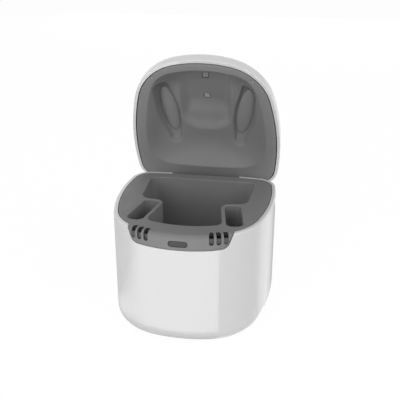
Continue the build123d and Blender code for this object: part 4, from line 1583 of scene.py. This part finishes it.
@dataclass
class SlotSeat:
    """The soft seat at the bottom of a slot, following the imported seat's outline."""

    hand: str
    edge: float = 1.0
    crown: float = 1.5
    slack: float = 0.2

    def build(self) -> None:
        """Makes the seat and puts it at the bottom of its slot."""
        node = f"slot_pad_{self.hand}"
        corners = [Vector(v.co) / MM for v in frame["nodes"][node].data.vertices]
        floor = min(corner.z for corner in corners)
        middle = Vector(
            [(max(c[i] for c in corners) + min(c[i] for c in corners)) / 2 for i in (0, 1)]
        )
        flat = [Vector((c.x, c.y)) - middle for c in corners if c.z < floor + self.slack]
        rim = [flat[i] for i in convex_hull_2d(flat)]
        pad = CrownedPad(f"slot_seat_{self.hand}", partial(self.reach, rim), self.edge, self.crown)
        piece = pad.shape()
        piece.data.transform(Matrix.Translation(Vector((*middle, floor)) * MM))
        pad.finish(piece, Finishes.slot_pad, node, "case")

    @staticmethod
    def reach(rim: list[Vector], turn: float) -> float:
        """Finds how far the seat's outline lies from its middle in one direction.

        Args:
            rim: The outline's corners.
            turn: The direction.

        Returns:
            The reach.
        """
        ray = Vector((math.cos(turn), math.sin(turn)))
        best, parallel, slip = 0.0, 1e-9, 1e-6
        for one, two in zip(rim, rim[1:] + rim[:1]):
            run = two - one
            cross = ray.x * run.y - ray.y * run.x
            if abs(cross) > parallel:
                out = (one.x * run.y - one.y * run.x) / cross
                along = (one.x * ray.y - one.y * ray.x) / cross
                if out > 0.0 and -slip <= along <= 1.0 + slip:
                    best = max(best, out)
        return best


class TileGrid:
    """A grid of equal tiles: dies on a lamp, contacts on an inlet's tongue."""

    inputs: dict[str, str] = {}
    tree: bpy.types.GeometryNodeTree | None = None

    @classmethod
    def grown(cls) -> bpy.types.GeometryNodeTree:
        """Builds the node tree at first use.

        Returns:
            The tree, with inputs for its counts, pitches and tile size.
        """
        if cls.tree is not None:
            return cls.tree
        tree = bpy.data.node_groups.new("tile grid", "GeometryNodeTree")
        for name, kind in (
            ("Columns", "Int"),
            ("Rows", "Int"),
            ("Width", "Float"),
            ("Length", "Float"),
            ("Tile", "Vector"),
            ("Finish", "Material"),
        ):
            socket = tree.interface.new_socket(
                name=name, in_out="INPUT", socket_type="NodeSocket" + kind
            )
            cls.inputs[name] = socket.identifier
        tree.interface.new_socket(
            name="Geometry", in_out="OUTPUT", socket_type="NodeSocketGeometry"
        )
        given = add_node(tree, "NodeGroupInput").outputs
        grid = add_node(
            tree,
            "GeometryNodeMeshGrid",
            {
                "Vertices X": given["Columns"],
                "Vertices Y": given["Rows"],
                "Size X": given["Width"],
                "Size Y": given["Length"],
            },
        )
        tile = add_node(tree, "GeometryNodeMeshCube", {"Size": given["Tile"]})
        inputs = {"Points": grid.outputs["Mesh"], "Instance": tile.outputs["Mesh"]}
        spread = add_node(tree, "GeometryNodeInstanceOnPoints", inputs).outputs["Instances"]
        real = add_node(tree, "GeometryNodeRealizeInstances", {"Geometry": spread})
        inputs = {"Geometry": real.outputs["Geometry"], "Material": given["Finish"]}
        paint = add_node(tree, "GeometryNodeSetMaterial", inputs)
        add_node(tree, "NodeGroupOutput", {"Geometry": paint.outputs["Geometry"]})
        cls.tree = tree
        return tree

    @classmethod
    def lay(
        cls,
        name: str,
        counts: tuple[int, int],
        spread: Pair,
        tile: Triple,
        bevel: float,
        finish: Moulded | Metal,
    ) -> Piece:
        """Lays a grid of tiles round the origin as one plain mesh.

        Args:
            name: The piece's name.
            counts: Columns and rows.
            spread: The width and length between the outer tiles' middles.
            tile: One tile's size.
            bevel: How far its edges are rounded.
            finish: Its finish.

        Returns:
            The piece.
        """
        base = mesh_object(name + "_base", [Vector()], [])
        grown = base.modifiers.new("tiles", "NODES")
        grown.node_group = cls.grown()
        values = {
            "Columns": counts[0],
            "Rows": counts[1],
            "Width": spread[0] * MM,
            "Length": spread[1] * MM,
            "Tile": tuple(side * MM for side in tile),
            "Finish": Finishes.get(finish),
        }
        for label, value in values.items():
            grown[cls.inputs[label]] = value
        rounded = base.modifiers.new("rounded edges", "BEVEL")
        rounded.width = bevel * MM
        rounded.segments = 3
        rounded.limit_method = "ANGLE"
        return baked(base, name)


@dataclass
class LampPair:
    """The two lamps in the lid's recess, each with four clear lenses over its dies."""

    form: LinerForm = field(default_factory=LinerForm)
    spots: Pair = (-19.6, -4.4)
    window: float = 3.8
    window_corner: float = 0.5
    window_ends: Pair = (-2.0, 2.4)
    corner_steps: int = 7
    face: float = 0.4
    pitch: float = 1.6
    lens: Triple = (1.35, 1.35, 0.3)
    bevel: float = 0.12

    def window_outline(self) -> list[Pair]:
        """Draws a window's outline: a square with rounded corners.

        Returns:
            Its corners.
        """
        middle = self.window / 2 - self.window_corner
        outline = []
        for quarter, (sx, sy) in enumerate(((1, 1), (-1, 1), (-1, -1), (1, -1))):
            for step in range(self.corner_steps):
                angle = math.radians(90.0 * (quarter + step / (self.corner_steps - 1)))
                x, y = math.cos(angle), math.sin(angle)
                spot = (sx * middle + self.window_corner * x, sy * middle + self.window_corner * y)
                outline.append(spot)
        return outline

    def slope(self, spot: float) -> Matrix:
        """Gives a lamp's own axes on the shut lid, in millimetres.

        Args:
            spot: How far along the recess's floor the lamp lies.

        Returns:
            The axes: x to the right, y up the recess, z through the liner.
        """
        lift = Vector((0.0, -self.form.climb(), 1.0)).normalized()
        right = Vector((1.0, 0.0, 0.0))
        along = lift.cross(right)
        place = Matrix((right, along, lift)).transposed().to_4x4()
        bend = Vector((0.0, self.form.recess_bend, LID_PLANE + self.form.recess_depth))
        place.translation = bend + along * spot
        return place

    def build(self, lid: LidFrame) -> None:
        """Lays the lenses over both lamps.

        Args:
            lid: Where the open lid stands.
        """
        spread = (self.pitch, self.pitch)
        for end, spot in zip(("front", "rear"), self.spots):
            name = f"lamp_lenses_{end}"
            piece = TileGrid.lay(name, (2, 2), spread, self.lens, self.bevel, Finishes.die)
            place = self.slope(spot) @ Matrix.Translation((0.0, 0.0, self.face))
            place.translation *= MM
            piece.data.transform(place)
            lid.open_up(piece)
            declare(piece, "lid")


@dataclass
class InletTongue:
    """The inlet's black tongue sleeve with two rows of gilt contacts."""

    setback: float = 1.2
    length: float = 4.4
    tongue: Pair = (6.7, 0.7)
    sleeve: float = 0.03
    sleeve_bevel: float = 0.12
    contacts: int = 12
    pitch: float = 0.5
    contact: Triple = (0.26, 3.4, 0.06)
    contact_start: float = 0.5
    contact_bevel: float = 0.02

    def build(self) -> None:
        """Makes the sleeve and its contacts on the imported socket's tongue."""
        low, high = (Vector(corner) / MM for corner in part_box("usb_socket"))
        middle = (low.z + high.z) / 2
        mouth = high.y - self.setback
        width, thickness = (side + 2 * self.sleeve for side in self.tongue)
        self.place(
            TileGrid.lay(
                "inlet_sleeve",
                (1, 1),
                (0.0, 0.0),
                (width, self.length, thickness),
                self.sleeve_bevel,
                Finishes.tongue,
            ),
            (mouth - self.length / 2 + self.sleeve, middle),
            "dark_plastic",
        )
        for name, side in (("top", 0.5), ("low", -0.5)):
            row = TileGrid.lay(
                f"inlet_contacts_{name}",
                (self.contacts, 1),
                (self.pitch * (self.contacts - 1), 0.0),
                self.contact,
                self.contact_bevel,
                Finishes.gold,
            )
            along = mouth - self.contact_start - self.contact[1] / 2
            self.place(row, (along, middle + side * thickness), "steel")

    @staticmethod
    def place(piece: Piece, spot: Pair, slot: str) -> None:
        piece.data.transform(Matrix.Translation(Vector((0.0, *spot)) * MM))
        declare(piece, "case")


class CaseLooks:
    """The case: its cup, tray, air path, button and inlet."""

    def build(self) -> None:
        """Dresses the whole case."""
        dress(Finishes.white, "body_shell")
        dress(Finishes.tray, "inner_tray")
        dress(Finishes.rubber, "base_pad")
        dress(Finishes.button, "button")
        dress(Finishes.dark, "chassis", "air_grille", "fan_frame", "fan_rotor", "button_switch")
        dress(Finishes.board, "main_board", "switch_board")
        dress(Finishes.steel, "case_screws", "hinge_pin", "usb_socket")
        dress(Finishes.plated, "tray_magnets")
        dress(Finishes.fins, "heater")
        for hand in ("right", "left"):
            SlotSeat(hand).build()
        InletTongue().build()


@dataclass
class LidLooks:
    """The lid: its shell, liner, pads and lamps."""

    lid: LidFrame = field(default_factory=LidFrame.from_joint)

    def build(self) -> None:
        """Dresses the whole lid."""
        dress(Finishes.white, "lid_shell")
        dress(Finishes.board, "lamp_board")
        dress(Finishes.lamp, "lamp_front", "lamp_rear")
        dress(Finishes.bumper, "lid_bumpers")
        dress(Finishes.plated, "lid_magnets")
        LidLiner(self.lid).build()
        for pad in HoldDownPad.pair():
            pad.build(self.lid)
        LampPair().build(self.lid)


def main() -> None:
    """Builds the studio and dresses the dryer."""
    logging.basicConfig(level=logging.INFO, format="%(message)s")
    Studio().build()
    CaseLooks().build()
    LidLooks().build()


if __name__ == "__main__":
    main()
